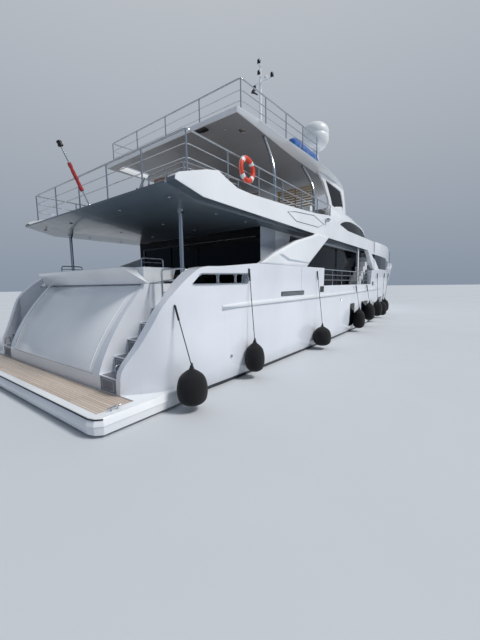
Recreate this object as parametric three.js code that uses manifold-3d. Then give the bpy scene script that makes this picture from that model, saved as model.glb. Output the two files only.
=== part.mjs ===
// Motor yacht about 31.6 m long: hull, main deck house, raised pilothouse and an open upper deck
// under a hardtop with a railed sun deck.
// Millimetres. +X forward, +Y to port, +Z up, origin on the centreline at the waterline amidships.
import * as THREE from 'three';
import { mergeVertices } from 'three/addons/utils/BufferGeometryUtils.js';
import Module from 'manifold-3d';

const wasm = await Module();
wasm.setup();

// Driving dimensions
const SEAT_GAP = 0.3; // air left between two pieces that touch
const GRID = 10; // corners lie on a grid of tenths, so faces meant to be flush are
const SLIVER = 0.05; // edges shorter than this close up
const HINGE_GAP = 8; // air left around a door or gate
const PLATFORM_TEAK_TOP = 280;
const MAIN_DECK = 1740;
const TEAK = 12;
const FORWARD_SEAT = 2890; // where the wide forward house stands on the hull
const SOFFIT = 3860;
const UPPER_DECK = 4090;
const PILOTHOUSE_ROOF = 5370;
const UPPER_DECK_AFT = -14000;
const UPPER_DECK_FORE = 300;
const TRANSOM = -14950;
const STAIR_IN = 2320; // the stern stairs run between these two half breadths
const DECKHOUSE = { aft: -10200, fore: 299.7, half: 2850, wall: 70 };
const RAIL_RADIUS = 20;
const WIRE_RADIUS = 12;
const SIDES = [['starboard', -1], ['port', 1]];

// Materials
const paint = (color, roughness, metalness = 0) => ({ color, roughness, metalness });
const LOOK = {
  gelcoat: paint(0xf1f3f4, 0.18),
  teak: paint(0xb08d67, 0.7),
  steel: paint(0xc9ccce, 0.18, 1),
  glass: paint(0x14181c, 0.08, 0.1),
  bronze: paint(0x9a7a45, 0.35, 1),
  black: paint(0x121214, 0.75),
  orange: paint(0xd8432a, 0.55),
  blue: paint(0x1d5fb0, 0.7),
  beige: paint(0xc9bfa4, 0.8),
  red: paint(0xa31f22, 0.8),
};

// Solids: three.js geometry in, closed manifold out
function toSolid(geometry) {
  let bare = geometry.index ? geometry.toNonIndexed() : geometry;
  bare.deleteAttribute('normal');
  bare.deleteAttribute('uv');
  bare.attributes.position.array.forEach((v, i, all) => { all[i] = Math.round(v * GRID) / GRID; });
  bare = mergeVertices(bare, 1e-3);
  const vertProperties = new Float32Array(bare.attributes.position.array);
  const triVerts = new Uint32Array(bare.index.array);
  return new wasm.Manifold(new wasm.Mesh({ numProp: 3, vertProperties, triVerts }));
}

const join = (solids) => solids.reduce((sum, solid) => sum.add(solid));
const cut = (solid, tools) => tools.reduce((rest, tool) => rest.subtract(tool), solid);
const clearOf = (solid, neighbour, shifts) => cut(solid, shifts.map((shift) => neighbour.translate(shift)));

const UP = [0, 0, SEAT_GAP];
const DOWN = [0, 0, -SEAT_GAP];
const AROUND = [[0, 0, 0], [SEAT_GAP, 0, 0], [-SEAT_GAP, 0, 0], [0, SEAT_GAP, 0], [0, -SEAT_GAP, 0]];

function box(x0, x1, y0, y1, z0, z1) {
  const geometry = new THREE.BoxGeometry(Math.abs(x1 - x0), Math.abs(y1 - y0), Math.abs(z1 - z0));
  geometry.translate((x0 + x1) / 2, (y0 + y1) / 2, (z0 + z1) / 2);
  return toSolid(geometry);
}

// An outline pushed along one axis: 'z' takes [x, y], 'y' takes [x, z], 'x' takes [y, z].
const SLAB_AXES = {
  z: new THREE.Matrix4(),
  y: new THREE.Matrix4().set(1, 0, 0, 0, 0, 0, -1, 0, 0, 1, 0, 0, 0, 0, 0, 1),
  x: new THREE.Matrix4().set(0, 0, 1, 0, 1, 0, 0, 0, 0, 1, 0, 0, 0, 0, 0, 1),
};
function slab(axis, outline, from, to) {
  const low = Math.min(from, to);
  const high = Math.max(from, to);
  const shape = new THREE.Shape(outline.map(([a, b]) => new THREE.Vector2(a, b)));
  const geometry = new THREE.ExtrudeGeometry(shape, { depth: high - low, bevelEnabled: false });
  geometry.translate(0, 0, axis === 'y' ? -high : low);
  geometry.applyMatrix4(SLAB_AXES[axis]);
  return toSolid(geometry);
}

function bar(from, to, radius, sides = 8) {
  const start = new THREE.Vector3(...from);
  const end = new THREE.Vector3(...to);
  const along = end.clone().sub(start);
  const geometry = new THREE.CylinderGeometry(radius, radius, along.length(), sides);
  const turn = new THREE.Quaternion().setFromUnitVectors(new THREE.Vector3(0, 1, 0), along.normalize());
  geometry.applyQuaternion(turn);
  geometry.translate(...start.add(end).multiplyScalar(0.5).toArray());
  return toSolid(geometry);
}

function bentTube(points, radius, steps = 10, sides = 10) {
  const path = new THREE.CatmullRomCurve3(points.map((point) => new THREE.Vector3(...point)));
  const ring = Array.from({ length: sides }, (_, i) => {
    const angle = (2 * Math.PI * i) / sides;
    return new THREE.Vector2(radius * Math.cos(angle), radius * Math.sin(angle));
  });
  const geometry = new THREE.ExtrudeGeometry(new THREE.Shape(ring), { steps, extrudePath: path });
  return toSolid(geometry);
}

// A profile of [radius, height] turned about an axis through the centre.
function turned(profile, centre, axis = [0, 0, 1], segments = 20) {
  const geometry = new THREE.LatheGeometry(profile.map(([r, h]) => new THREE.Vector2(r, h)), segments);
  const direction = new THREE.Vector3(...axis).normalize();
  geometry.applyQuaternion(new THREE.Quaternion().setFromUnitVectors(new THREE.Vector3(0, 1, 0), direction));
  geometry.translate(...centre);
  return toSolid(geometry);
}

// Rings of [x, y, z] with like counts, joined in order, with a flat fan at each end.
// Each four-sided patch is split along its shorter diagonal, so both sides of the boat match.
function loft(rings) {
  const count = rings[0].length;
  const positions = rings.flat(2);
  const triangles = [];
  for (let r = 0; r < rings.length - 1; r += 1) {
    for (let i = 0; i < count; i += 1) {
      const next = (i + 1) % count;
      const [a, b] = [r * count + i, r * count + next];
      const corner = (k) => new THREE.Vector3(positions[3 * k], positions[3 * k + 1], positions[3 * k + 2]);
      const falls = corner(a).distanceTo(corner(b + count)) < corner(b).distanceTo(corner(a + count)) + 0.01;
      const [c, d] = [a + count, b + count];
      triangles.push(...(falls ? [a, b, d, a, d, c] : [a, b, c, b, d, c]));
    }
  }
  const last = (rings.length - 1) * count;
  for (let i = 1; i < count - 1; i += 1) {
    triangles.push(0, i + 1, i, last, last + i, last + i + 1);
  }
  const geometry = new THREE.BufferGeometry();
  geometry.setAttribute('position', new THREE.Float32BufferAttribute(positions, 3));
  geometry.setIndex(triangles);
  return toSolid(geometry);
}

// A half outline of [x, y] from aft to fore, closed by its mirror image, anticlockwise from above.
const closed = (half) => [...half.map(([x, y]) => [x, -y]), ...[...half].reverse().filter(([, y]) => y > 0)];

// Every edge of an anticlockwise outline moved inwards by the distance.
function inset(outline, distance) {
  const count = outline.length;
  return outline.map((point, i) => {
    const before = outline[(i + count - 1) % count];
    const after = outline[(i + 1) % count];
    const first = new THREE.Vector2(point[0] - before[0], point[1] - before[1]).normalize();
    const second = new THREE.Vector2(after[0] - point[0], after[1] - point[1]).normalize();
    const scale = distance / (1 + first.dot(second));
    return [point[0] - (first.y + second.y) * scale, point[1] + (first.x + second.x) * scale];
  });
}

// A railing through corners of [x, y, top], straight between them, with a number of bays to each run,
// its posts down to foot(x, y) and its wires hung below the top rail by the given drops.
function railing(corners, bays, foot, drops = [330, 640]) {
  const solids = [];
  const post = (x, y, top) => solids.push(bar([x, y, foot(x, y)], [x, y, top], RAIL_RADIUS, 6));
  corners.slice(1).forEach((end, run) => {
    const start = corners[run];
    solids.push(bar(start, end, RAIL_RADIUS, 6));
    const lower = ([x, y, top], drop) => [x, y, top - drop];
    drops.forEach((drop) => solids.push(bar(lower(start, drop), lower(end, drop), WIRE_RADIUS, 4)));
    for (let i = 0; i < bays[run]; i += 1) {
      const at = (k) => start[k] + ((end[k] - start[k]) * i) / bays[run];
      post(at(0), at(1), at(2));
    }
  });
  post(...corners.at(-1));
  return join(solids);
}

// Corners on the starboard side followed by their mirror images.
const bothSides = (corners) => [...corners, ...[...corners].reverse().map(([x, y, top]) => [x, -y, top])
  .filter(([, y]) => y !== 0)];

// Hull lines. Columns: waterline x, keel z, chine y, chine z, half breadth at the waterline,
// at the rub rail and at the sheer, rub rail z, sheer z, forward rake per unit of height.
const STATIONS = [
  [-14950, -750, 2700, -260, 2950, 3020, 3060, 1740, 2700, 0],
  [-14300, -850, 3080, -280, 3420, 3510, 3550, 1745, 2700, 0],
  [-13000, -1000, 3200, -300, 3520, 3620, 3640, 1750, 2700, 0],
  [-9500, -1250, 3260, -320, 3560, 3650, 3670, 1765, 2715, 0],
  [-5000, -1400, 3250, -310, 3570, 3660, 3690, 1790, 2750, 0],
  [-500, -1450, 3060, -250, 3440, 3610, 3660, 1850, 2850, 0],
  [3500, -1450, 2600, -150, 3060, 3380, 3500, 1920, 2960, 0.02],
  [6500, -1420, 2000, 0, 2520, 2940, 3110, 2000, 3080, 0.06],
  [9500, -1300, 1250, 120, 1780, 2300, 2600, 2150, 3560, 0.16],
  [12000, -1050, 560, 140, 900, 1420, 1830, 2350, 3930, 0.28],
  [14000, -350, 60, 20, 60, 60, 60, 2600, 4200, 0.44],
];
const WATER_Z = 160;

function hullLoft() {
  const columns = STATIONS.map(([x, keelZ, chineY, chineZ, waterY, railY, sheerY, railZ, sheerZ, rake]) => {
    const levels = [[0, keelZ], [chineY, chineZ], [waterY, WATER_Z], [railY, railZ], [sheerY, sheerZ]];
    return levels.map(([y, z]) => new THREE.Vector3(x + rake * z, y, z));
  });
  const steps = 2 * (STATIONS.length - 1);
  const lines = columns[0].map((_, i) => new THREE.CatmullRomCurve3(columns.map((row) => row[i])).getPoints(steps));
  const rings = lines[0].map((_, s) => {
    const half = lines.map((line) => line[s]);
    const starboard = half.slice(1).map((p) => [p.x, -p.y, p.z]);
    const port = half.slice(1).reverse().map((p) => [p.x, p.y, p.z]);
    return [[half[0].x, 0, half[0].z], ...port.reverse(), ...starboard.reverse()];
  });
  return loft(rings);
}

// Stern: door slope in the middle, bowed outwards, wing slope outside it, treads cut between the two.
const DOOR_SLOPE = { lowX: -14960, lowZ: 560, highX: -13840, highZ: 2250 };
const DOOR_BOW = [[-14860, 830], [-14620, 1280], [-14340, 1680], [-14030, 2050]];
const DOOR_PIN = { x: -13835, z: 2208, from: 2190, to: 2205, radius: 8 };
const DOOR = { lowHalf: 2060, highHalf: 2200, thick: 90, cornerX: 50, cornerZ: 90 };
const WING_SLOPE = [[-14950, 460], [-14930, 720], [-14700, 1140], [-14520, 1510], [-14350, 1850], [-14100, 2130],
  [-13800, 2380], [-13500, 2540], [-12910, 2585], [-11390, 2720]];
const STAIR_OUTLINE = [[-15100, STAIR_IN], [-15100, 2800], [-14950, 2880], [-14300, 3340], [-13560, 3283.8],
  [-13340, 3300], [-13340, STAIR_IN]];
const TREADS = 4;
const TREAD_RUN = 310;
const TREAD_RISE = (MAIN_DECK - PLATFORM_TEAK_TOP) / (TREADS + 1);
const COCKPIT_AFT = -13340;
const TOP = 6000;

const side = (outline, sign) => {
  const turnedOver = outline.map(([x, y]) => [x, y * sign]);
  return sign > 0 ? turnedOver : turnedOver.reverse();
};

function sternCuts(sign) {
  const wing = [[-16500, 460], ...WING_SLOPE, [-11390, TOP], [-16500, TOP]];
  const cuts = [slab('y', wing, sign * STAIR_IN, sign * 4200)];
  for (let i = 0; i <= TREADS; i += 1) {
    const aft = TRANSOM + TREAD_RUN * i;
    const fore = i === TREADS ? COCKPIT_AFT + 5 : aft + TREAD_RUN + 5;
    const tread = PLATFORM_TEAK_TOP + TREAD_RISE * (i + 1);
    const well = slab('z', side(STAIR_OUTLINE, sign), tread, TOP);
    const from = i === 0 ? -15200 : aft;
    cuts.push(well.intersect(box(from, fore, -4200, 4200, tread - 10, TOP)));
  }
  return cuts;
}

// Balcony cut-out, mooring port, garage bay, fore deck and cockpit wells
const BALCONY = [[-7400, 2120], [-840, 2120], [-840, TOP], [-7400, TOP]];
const MOORING_PORT = [[-13760, 2215], [-12010, 2225], [-11960, 2450], [-13520, 2420]];
const DECK_WELL = closed([[COCKPIT_AFT, 3380], [-12000, 3470], [-600, 3470], [300, 3430]]);
const FORE_WELL = closed([[9900, 2100], [12000, 1600], [13500, 930], [14200, 420]]);
const FORE_DECK = 3050;
const HOUSE_OUTLINE = closed([[300, 3520], [2000, 3480], [4000, 3350], [6500, 2990], [8300, 2420], [9300, 1700],
  [9700, 800]]);
const GARAGE_BAY = { fore: -11900, half: 1950, floor: 620, top: 1600 };
const RUDDER = { x: -14250, y: 1450, stock: 60, clearance: 0.9 };
const BULWARK = { inner: 2400, outer: 4200, aft: -16500, fore: 300 };

function buildHull() {
  const { lowX, lowZ, highX, highZ } = DOOR_SLOPE;
  const stern = [[-16500, 300], [lowX, 300], [lowX, lowZ], ...DOOR_BOW, [highX, highZ], [COCKPIT_AFT, highZ],
    [COCKPIT_AFT, TOP], [-16500, TOP]];
  const doorHoleTop = highZ + 5;
  const doorHoleSide = [[lowX - 200, lowZ - 10], [lowX + 130, lowZ - 10], [highX + 127, doorHoleTop],
    [highX - 285, doorHoleTop]];
  const edge = HINGE_GAP;
  const doorHoleFront = [[-DOOR.lowHalf - edge, lowZ - edge], [DOOR.lowHalf + edge, lowZ - edge],
    [DOOR.highHalf + edge + 2, doorHoleTop], [-DOOR.highHalf - edge - 2, doorHoleTop]];
  const bay = GARAGE_BAY;
  let hull = hullLoft();
  hull = cut(hull, [
    slab('y', stern, -STAIR_IN, STAIR_IN),
    slab('y', doorHoleSide, -3000, 3000).intersect(slab('x', doorHoleFront, -16500, -13000)),
    box(-14900, bay.fore, -bay.half, bay.half, bay.floor, bay.top),
    slab('z', DECK_WELL, MAIN_DECK, TOP),
    slab('z', FORE_WELL, FORE_DECK, TOP),
    slab('z', HOUSE_OUTLINE, FORWARD_SEAT, TOP),
  ]);
  for (const [, sign] of SIDES) {
    const plain = sternCuts(sign);
    const through = [slab('y', BALCONY, sign * 3400, sign * 4200), slab('y', MOORING_PORT, sign * 3250, sign * 4200)];
    const bore = RUDDER.stock + RUDDER.clearance;
    const rudderHole = bar([RUDDER.x, sign * RUDDER.y, -900], [RUDDER.x, sign * RUDDER.y, -250], bore, 32);
    hull = cut(hull, [...plain, ...through, rudderHole]);
  }
  return hull;
}

// The moulding is parted at the main deck: side bulwarks above it, aft of the forward house.
const bulwarkZone = (sign, gap) => box(BULWARK.aft, BULWARK.fore - gap, sign * BULWARK.inner, sign * BULWARK.outer,
  MAIN_DECK + gap, TOP);
function buildBulwark(sign, moulding, hull) {
  const wall = moulding.intersect(bulwarkZone(sign, SEAT_GAP));
  return clearOf(wall.add(rubRail(sign)), hull, [[0, 0, 0], UP, [0, sign * SEAT_GAP, 0]]);
}

// The white rub rail stands out 40 mm from the side and covers the joint.
function rubRail(sign) {
  const solids = [];
  const marks = [[-12900, 3626, 1750], [-9500, 3650, 1765], [-5000, 3660, 1790], [-500, 3612, 1850], [2000, 3500, 1885]];
  for (let i = 1; i < marks.length; i += 1) {
    const ring = ([x, y, z]) => [[x, y - 60, z - 60], [x, y + 40, z - 40], [x, y + 40, z + 35], [x, y - 60, z + 60]];
    const rings = [ring(marks[i - 1]), ring(marks[i])];
    const flip = rings.map((points) => points.map(([x, y, z]) => [x, y * sign, z]));
    solids.push(loft(sign > 0 ? flip : flip.map((points) => points.reverse())));
  }
  return join(solids);
}

// Swim platform with a bevelled rim
const RIM = closed([[-15780, 3400], [-15740, 3540], [-15630, 3640], [-14300, 3640], [-13600, 3560]]);
const RIM_TOP = 300;
function buildPlatform(hull) {
  const level = (outline, z) => outline.map(([x, y]) => [x, y, z]);
  const body = loft([level(inset(RIM, 25), 50), level(RIM, 190), level(inset(RIM, 50), RIM_TOP)]);
  const bed = box(-15600, TRANSOM, -3380, 3380, PLATFORM_TEAK_TOP - TEAK, RIM_TOP + 50);
  const clear = [[-SEAT_GAP, 0, 0], [0, SEAT_GAP, 0], [0, -SEAT_GAP, 0], [SEAT_GAP, 0, 0]];
  const hullBlock = join([hull, box(TRANSOM, -13000, -STAIR_IN, STAIR_IN, -200, 600)]);
  return clearOf(cut(body, [bed]), hullBlock, clear);
}

const buildPlatformTeak = () => box(-15600 + SEAT_GAP, TRANSOM - SEAT_GAP, -3380 + SEAT_GAP, 3380 - SEAT_GAP,
  PLATFORM_TEAK_TOP - TEAK + SEAT_GAP, PLATFORM_TEAK_TOP);

function buildGarageDoor() {
  const { lowX, lowZ, highX, highZ } = DOOR_SLOPE;
  const outer = [[lowX, lowZ], ...DOOR_BOW, [highX, highZ - 30], [highX + DOOR.cornerX, highZ - DOOR.cornerZ],
    [lowX + DOOR.thick + 15, lowZ]];
  const front = [[-DOOR.lowHalf, lowZ], [DOOR.lowHalf, lowZ], [DOOR.highHalf, highZ], [-DOOR.highHalf, highZ]];
  const leaf = slab('y', outer.reverse(), -3000, 3000).intersect(slab('x', front, -16500, -13000));
  const { x, z, from, to, radius } = DOOR_PIN;
  const pins = SIDES.map(([, sign]) => bar([x, sign * from, z], [x, sign * to, z], radius, 12));
  return join([leaf, ...pins]);
}

// The coaming overhangs the door, and its ends fall away in sloped shoulders.
function buildAftCoaming() {
  const seat = DOOR_SLOPE.highZ + SEAT_GAP;
  const top = 2600;
  const low = closed([[-13840, 2300], [-13350, 2300], [-13120, 2250]]);
  const high = closed([[-14260, 2360], [-14100, 2440], [-12980, 2440]]);
  const body = loft([low.map(([x, y]) => [x, y, seat]), high.map(([x, y]) => [x, y, top])]);
  const shoulder = [[1950, top], [2600, top - 246], [2600, top + 50], [1950, top + 50]];
  return cut(body, SIDES.map(([, sign]) => slab('x', shoulder.map(([y, z]) => [y * sign, z]), -14060, -12900)));
}

// Gate at the head of each stern stair
const GATE = { x: -13560, inner: 2520, outer: 3263, low: 1800, high: 2560 };
function buildGate(sign) {
  const { x, inner, outer, low, high } = GATE;
  const corner = (y, z) => [x, sign * y, z];
  const solids = [
    bar(corner(inner, low), corner(inner, high), RAIL_RADIUS),
    bar(corner(outer, low), corner(outer, high), RAIL_RADIUS),
  ];
  for (const z of [low + 20, low + 260, low + 510, high - 18]) {
    solids.push(bar(corner(inner, z), corner(outer, z), z > high - 30 ? RAIL_RADIUS : WIRE_RADIUS));
  }
  return join(solids);
}

// Teak of the cockpit and the side decks, laid round the deck house
function buildMainTeak() {
  const field = slab('z', inset(DECK_WELL, 25), MAIN_DECK + SEAT_GAP, MAIN_DECK + TEAK);
  const house = box(DECKHOUSE.aft - 20, 500, -DECKHOUSE.half - 20, DECKHOUSE.half + 20, 0, TOP);
  return cut(field, [house]);
}

function buildCockpitSofa() {
  const foot = MAIN_DECK + TEAK + SEAT_GAP;
  const seat = box(-13110, -12450, -2050, 2050, foot, foot + 430);
  const back = box(-13110, -12900, -2050, 2050, foot + 400, 2590);
  return cut(join([seat, back]), [box(-13200, -12980, -2300, 2300, 2240, 2610)]);
}

function buildCockpitTable() {
  const foot = MAIN_DECK + TEAK + SEAT_GAP;
  const top = slab('z', closed([[-12250, 500], [-12100, 900], [-11500, 900], [-11350, 500]]), foot + 700, foot + 740);
  return join([top, bar([-11800, 0, foot], [-11800, 0, foot + 720], 60, 16),
    turned([[0, 0], [260, 0], [260, 18], [0, 30]], [-11800, 0, foot])]);
}

// Main deck house: a ring of walls with long side windows and a wide aft doorway
const SALOON_WINDOW = [[-9300, 2000], [-600, 2000], [-600, 3800], [-8700, 3800]];
const DOORWAY = { half: 2680, low: MAIN_DECK + 40, high: 3600 };
function buildDeckhouse() {
  const { aft, fore, half, wall } = DECKHOUSE;
  const base = MAIN_DECK + SEAT_GAP;
  const outer = box(aft, fore, -half, half, base, SOFFIT - SEAT_GAP);
  return cut(outer, [
    box(aft + wall, fore - wall, -half + wall, half - wall, 0, TOP),
    slab('y', SALOON_WINDOW, -4000, 4000),
    box(aft - 100, aft + wall + 100, -DOORWAY.half, DOORWAY.half, DOORWAY.low, DOORWAY.high),
  ]);
}

// Glazing in one piece inside the walls: both long side windows, the two fixed aft panes and their track.
const PANE = { side: 16, aft: 24, fixedFrom: 1120 };
function buildSaloonGlazing() {
  const { aft, half, wall } = DECKHOUSE;
  const inner = half - wall - SEAT_GAP;
  const back = aft + wall + SEAT_GAP;
  const [low, high] = [MAIN_DECK + TEAK, 3840];
  return cut(box(back, -500, -inner, inner, low, high), [
    box(back + PANE.aft, 0, -inner + PANE.side, inner - PANE.side, low - 50, high + 50),
    box(back - 50, back + PANE.aft + 50, -PANE.fixedFrom, PANE.fixedFrom, low - 50, 3610),
  ]);
}

// Each sliding leaf runs forward of the fixed panes and parks behind its own one.
const LEAF = { width: 1180, thick: 40, top: 3690 };
function buildSaloonDoor(sign) {
  const x = DECKHOUSE.aft + DECKHOUSE.wall + PANE.aft + HINGE_GAP;
  const leaf = box(x, x + LEAF.thick, sign * 4, sign * (4 + LEAF.width), MAIN_DECK + 8, LEAF.top);
  const roller = (y) => box(x + 10, x + 30, sign * (y - 30), sign * (y + 30), MAIN_DECK + 0.5, MAIN_DECK + 20);
  const rollers = [150, LEAF.width - 150].map(roller);
  return join([leaf, ...rollers]);
}

// Forward house at full beam, with its bulwark, its long dark windows and the side stairs
const HOUSE_PROFILE = [[350, FORWARD_SEAT], [9800, FORWARD_SEAT], [9700, 3700], [8600, 4060], [6500, 4440], [4000, 4500],
  [1800, 4440], [UPPER_DECK_FORE + SEAT_GAP, 4410], [UPPER_DECK_FORE + SEAT_GAP, 3000]];
const FORWARD_WINDOW = [[1480, 2965], [6400, 3000], [7500, 3080], [7900, 3300], [6900, 3650], [4000, 3720], [-250, 3730]];
const SIDE_STAIR = { inner: 2880, outer: 3290, aft: -2350, treads: 8, run: 330 };
const houseSeat = FORWARD_SEAT + SEAT_GAP;

function buildForwardHouse() {
  const plan = slab('z', inset(HOUSE_OUTLINE, SEAT_GAP), houseSeat, TOP);
  let house = plan.intersect(slab('y', HOUSE_PROFILE, -4000, 4000));
  house = cut(house, [
    slab('z', inset(HOUSE_OUTLINE, 180), UPPER_DECK, TOP).intersect(box(300, 8000, -4000, 4000, UPPER_DECK, TOP)),
    box(200, 600, -3330, 3330, UPPER_DECK, TOP),
    slab('z', inset(HOUSE_OUTLINE, 110), 2000, UPPER_DECK - 110),
  ]);
  for (const [, sign] of SIDES) {
    const cheek = [[400, houseSeat], [400, SOFFIT - SEAT_GAP], [-950, SOFFIT - SEAT_GAP], [330, houseSeat]];
    const plate = slab('y', cheek, sign * 3300, sign * 3480);
    house = house.add(plate).subtract(slab('y', FORWARD_WINDOW, sign * 600, sign * 4200));
    const rise = (SOFFIT - 40 - MAIN_DECK - TEAK) / SIDE_STAIR.treads;
    for (let i = 0; i < SIDE_STAIR.treads; i += 1) {
      const x = SIDE_STAIR.aft + SIDE_STAIR.run * i;
      const top = MAIN_DECK + TEAK + rise * (i + 1);
      const under = Math.max(MAIN_DECK + TEAK + SEAT_GAP, top - rise - 160);
      const end = i === SIDE_STAIR.treads - 1 ? 520 : x + SIDE_STAIR.run + 40;
      house = house.add(box(x, end, sign * SIDE_STAIR.inner, sign * SIDE_STAIR.outer, under, top));
    }
  }
  return house;
}

function buildForwardGlass(sign) {
  const skin = slab('z', inset(HOUSE_OUTLINE, 20), 2700, TOP).subtract(slab('z', inset(HOUSE_OUTLINE, 44), 2000, TOP));
  const plate = box(-600, 380, sign * 3420, sign * 3456, 2700, TOP);
  const rim = cut(skin, [box(200, 600, -3400, 3400, 2000, TOP)]);
  return join([rim, plate]).intersect(slab('y', inset(FORWARD_WINDOW, SEAT_GAP), sign * 600, sign * 4200));
}

// Upper deck: slab thin at its aft edge, side fascias with a raised wing at each aft corner
const FASCIA_TOP = [[-13910, 4180], [-13820, 4240], [-13090, 4480], [-12720, 4560], [-12460, 4470], [-12070, 4360],
  [-11500, 4350], [-10290, 4410], [-9150, 4470], [-7730, 4555], [-6420, 4700], [-5400, 4560], [-4200, 4420],
  [UPPER_DECK_FORE, 4410]];
const FASCIA = [[-14000, 4060], [-13200, 3910], [-12000, 3900], [-8140, SOFFIT], [UPPER_DECK_FORE, SOFFIT],
  ...[...FASCIA_TOP].reverse()];
function fasciaTop(x) {
  const after = FASCIA_TOP.findIndex(([mark]) => mark >= x);
  const [[x0, z0], [x1, z1]] = [FASCIA_TOP[after - 1], FASCIA_TOP[after]];
  return z0 + ((z1 - z0) * (x - x0)) / (x1 - x0);
}
function buildUpperDeck() {
  const edge = [[UPPER_DECK_AFT, 4050], [-13200, SOFFIT], [UPPER_DECK_FORE, SOFFIT], [UPPER_DECK_FORE, UPPER_DECK],
    [UPPER_DECK_AFT, UPPER_DECK]];
  const solids = [slab('y', edge, -3250, 3250)];
  for (const [, sign] of SIDES) {
    solids.push(slab('y', FASCIA, sign * 3240, sign * 3460));
  }
  return join(solids);
}

// Buttress wing from the bulwark up to the upper deck
const BUTTRESS = [[-11420, 2600], [-8650, 2600], [-8470, 2850], [-6710, 3900], [-7760, 3950], [-8000, 3800], [-9420, 3460],
  [-10690, 3020]];
function buildButtress(sign, hull, upperDeck) {
  const body = slab('y', BUTTRESS, sign * 3470, sign * 3630);
  return clearOf(clearOf(body, hull, [UP, [0, 0, 0]]), upperDeck, [DOWN, [0, 0, 0]]);
}

const COCKPIT_POST = { x: -13000, y: 2560, radius: 45 };
const buildCockpitPost = (sign) => bar([COCKPIT_POST.x, sign * COCKPIT_POST.y, MAIN_DECK + TEAK + SEAT_GAP],
  [COCKPIT_POST.x, sign * COCKPIT_POST.y, SOFFIT - SEAT_GAP], COCKPIT_POST.radius, 16);

// Raised pilothouse, its shoulders running aft beside the helm
const PILOT_BASE = closed([[-5600, 3150], [-3000, 3170], [-400, 3150], [1000, 3000], [2600, 2300], [3700, 1000]]);
const PILOT_EAVES = closed([[-5350, 3080], [-3000, 3100], [-1400, 3080], [-100, 2950], [1000, 2100], [1500, 900]]);
const PILOT_CROWN = closed([[-5150, 2950], [-3000, 2950], [-1700, 2850], [-700, 2500], [0, 1700], [300, 700]]);
const EAVES_Z = 5080;
const ARCH = [[-4600, 4540], [250, 4600], [-660, 4940], [-1800, 5050], [-2800, 5040], [-3920, 4850]];
const WINDSCREEN = [[-2250, 4420], [2250, 4420], [1950, 5000], [-1950, 5000]];
function pilotShell(margin) {
  const level = (outline, z) => inset(outline, margin).map(([x, y]) => [x, y, z]);
  const base = margin > 60 ? UPPER_DECK - 300 : UPPER_DECK + SEAT_GAP;
  const crown = level(PILOT_CROWN, PILOTHOUSE_ROOF - margin);
  return loft([level(PILOT_BASE, base), level(PILOT_EAVES, EAVES_Z - margin / 2), crown]);
}

// The glazing is one band round the pilothouse: it shows in the arches and the windscreen, and passes
// behind the pillars between them in a slot of the shell.
const GLAZING = { outside: 25, inside: 50, low: 4560, high: 4900, from: -1200 };
const pilotBand = (gap) => pilotShell(GLAZING.outside - gap).subtract(pilotShell(GLAZING.inside + gap));
const behindPillars = (gap) => box(GLAZING.from - gap, 5000, -4000, 4000, GLAZING.low - gap, GLAZING.high + gap);

function buildPilothouse() {
  return cut(pilotShell(0), [
    pilotShell(90).intersect(box(-4200, 5000, -4000, 4000, 3000, TOP)),
    box(-6000, -4300, -2860, 2860, 3000, TOP),
    slab('y', ARCH, -4000, 4000),
    slab('x', WINDSCREEN, -800, 5000),
    pilotBand(SEAT_GAP).intersect(behindPillars(SEAT_GAP)),
  ]);
}

function buildPilothouseGlazing() {
  const shown = [slab('x', inset(WINDSCREEN, SEAT_GAP), -700, 5000), slab('y', inset(ARCH, SEAT_GAP), -4000, 4000)];
  return pilotBand(0).intersect(join([...shown, behindPillars(0)]));
}

// Helm front: console, low coaming and the two window frames that carry the hardtop
const HELM_FRAME = [[-5000, 5300], [-2950, 5300], [-3050, 5800], [-3350, 6430], [-6300, 6430], [-5700, 6150],
  [-5250, 5700]];
const HELM_WINDOW = [[-4750, 5420], [-3300, 5420], [-3380, 5800], [-3700, 6290], [-5600, 6330], [-5250, 6050],
  [-4900, 5700]];
function buildHelmFront(pilothouse, hardtop) {
  const base = PILOTHOUSE_ROOF + SEAT_GAP;
  const foot = UPPER_DECK + SEAT_GAP;
  const coaming = [[-4280, base], [-3000, base], [-3150, 5560], [-3500, 5640], [-4280, 5500]];
  const console = [[-4900, foot], [-4310, foot], [-4310, base], [-4200, base], [-4200, 5480], [-4750, 5300], [-4900, 5150]];
  const solids = [slab('y', coaming, -2920, 2920), slab('y', console, -950, 950)];
  for (const [, sign] of SIDES) {
    solids.push(slab('y', HELM_FRAME, sign * 2860, sign * 2940).subtract(slab('y', HELM_WINDOW, sign * 2700, sign * 3100)));
  }
  return clearOf(clearOf(join(solids), pilothouse, [UP, ...AROUND]), hardtop, [DOWN, ...AROUND]);
}

// Hardtop with its hatch
const HARDTOP_SOFFIT = closed([[-11390, 2960], [-10500, 2930], [-9000, 2850], [-7800, 2800], [-5600, 2800], [-4600, 2780],
  [-3600, 2700], [-2700, 1300]]);
const HARDTOP_EDGE = closed([[-11390, 2970], [-10500, 3050], [-9000, 3090], [-7600, 3140], [-5900, 3170], [-4600, 3090],
  [-3150, 2870], [-2650, 1300]]);
const HARDTOP_TOP = 6620;
const HATCH = [[-11100, 2240], [-10100, 2230], [-9620, 2830], [-11050, 2760]];
function buildHardtop() {
  const level = (outline, z) => outline.map(([x, y]) => [x, y, z]);
  const body = loft([level(HARDTOP_SOFFIT, 6420), level(HARDTOP_EDGE, 6550), level(inset(HARDTOP_EDGE, 300), HARDTOP_TOP)]);
  return cut(body, [slab('z', HATCH, 6000, 7000)]);
}

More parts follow.
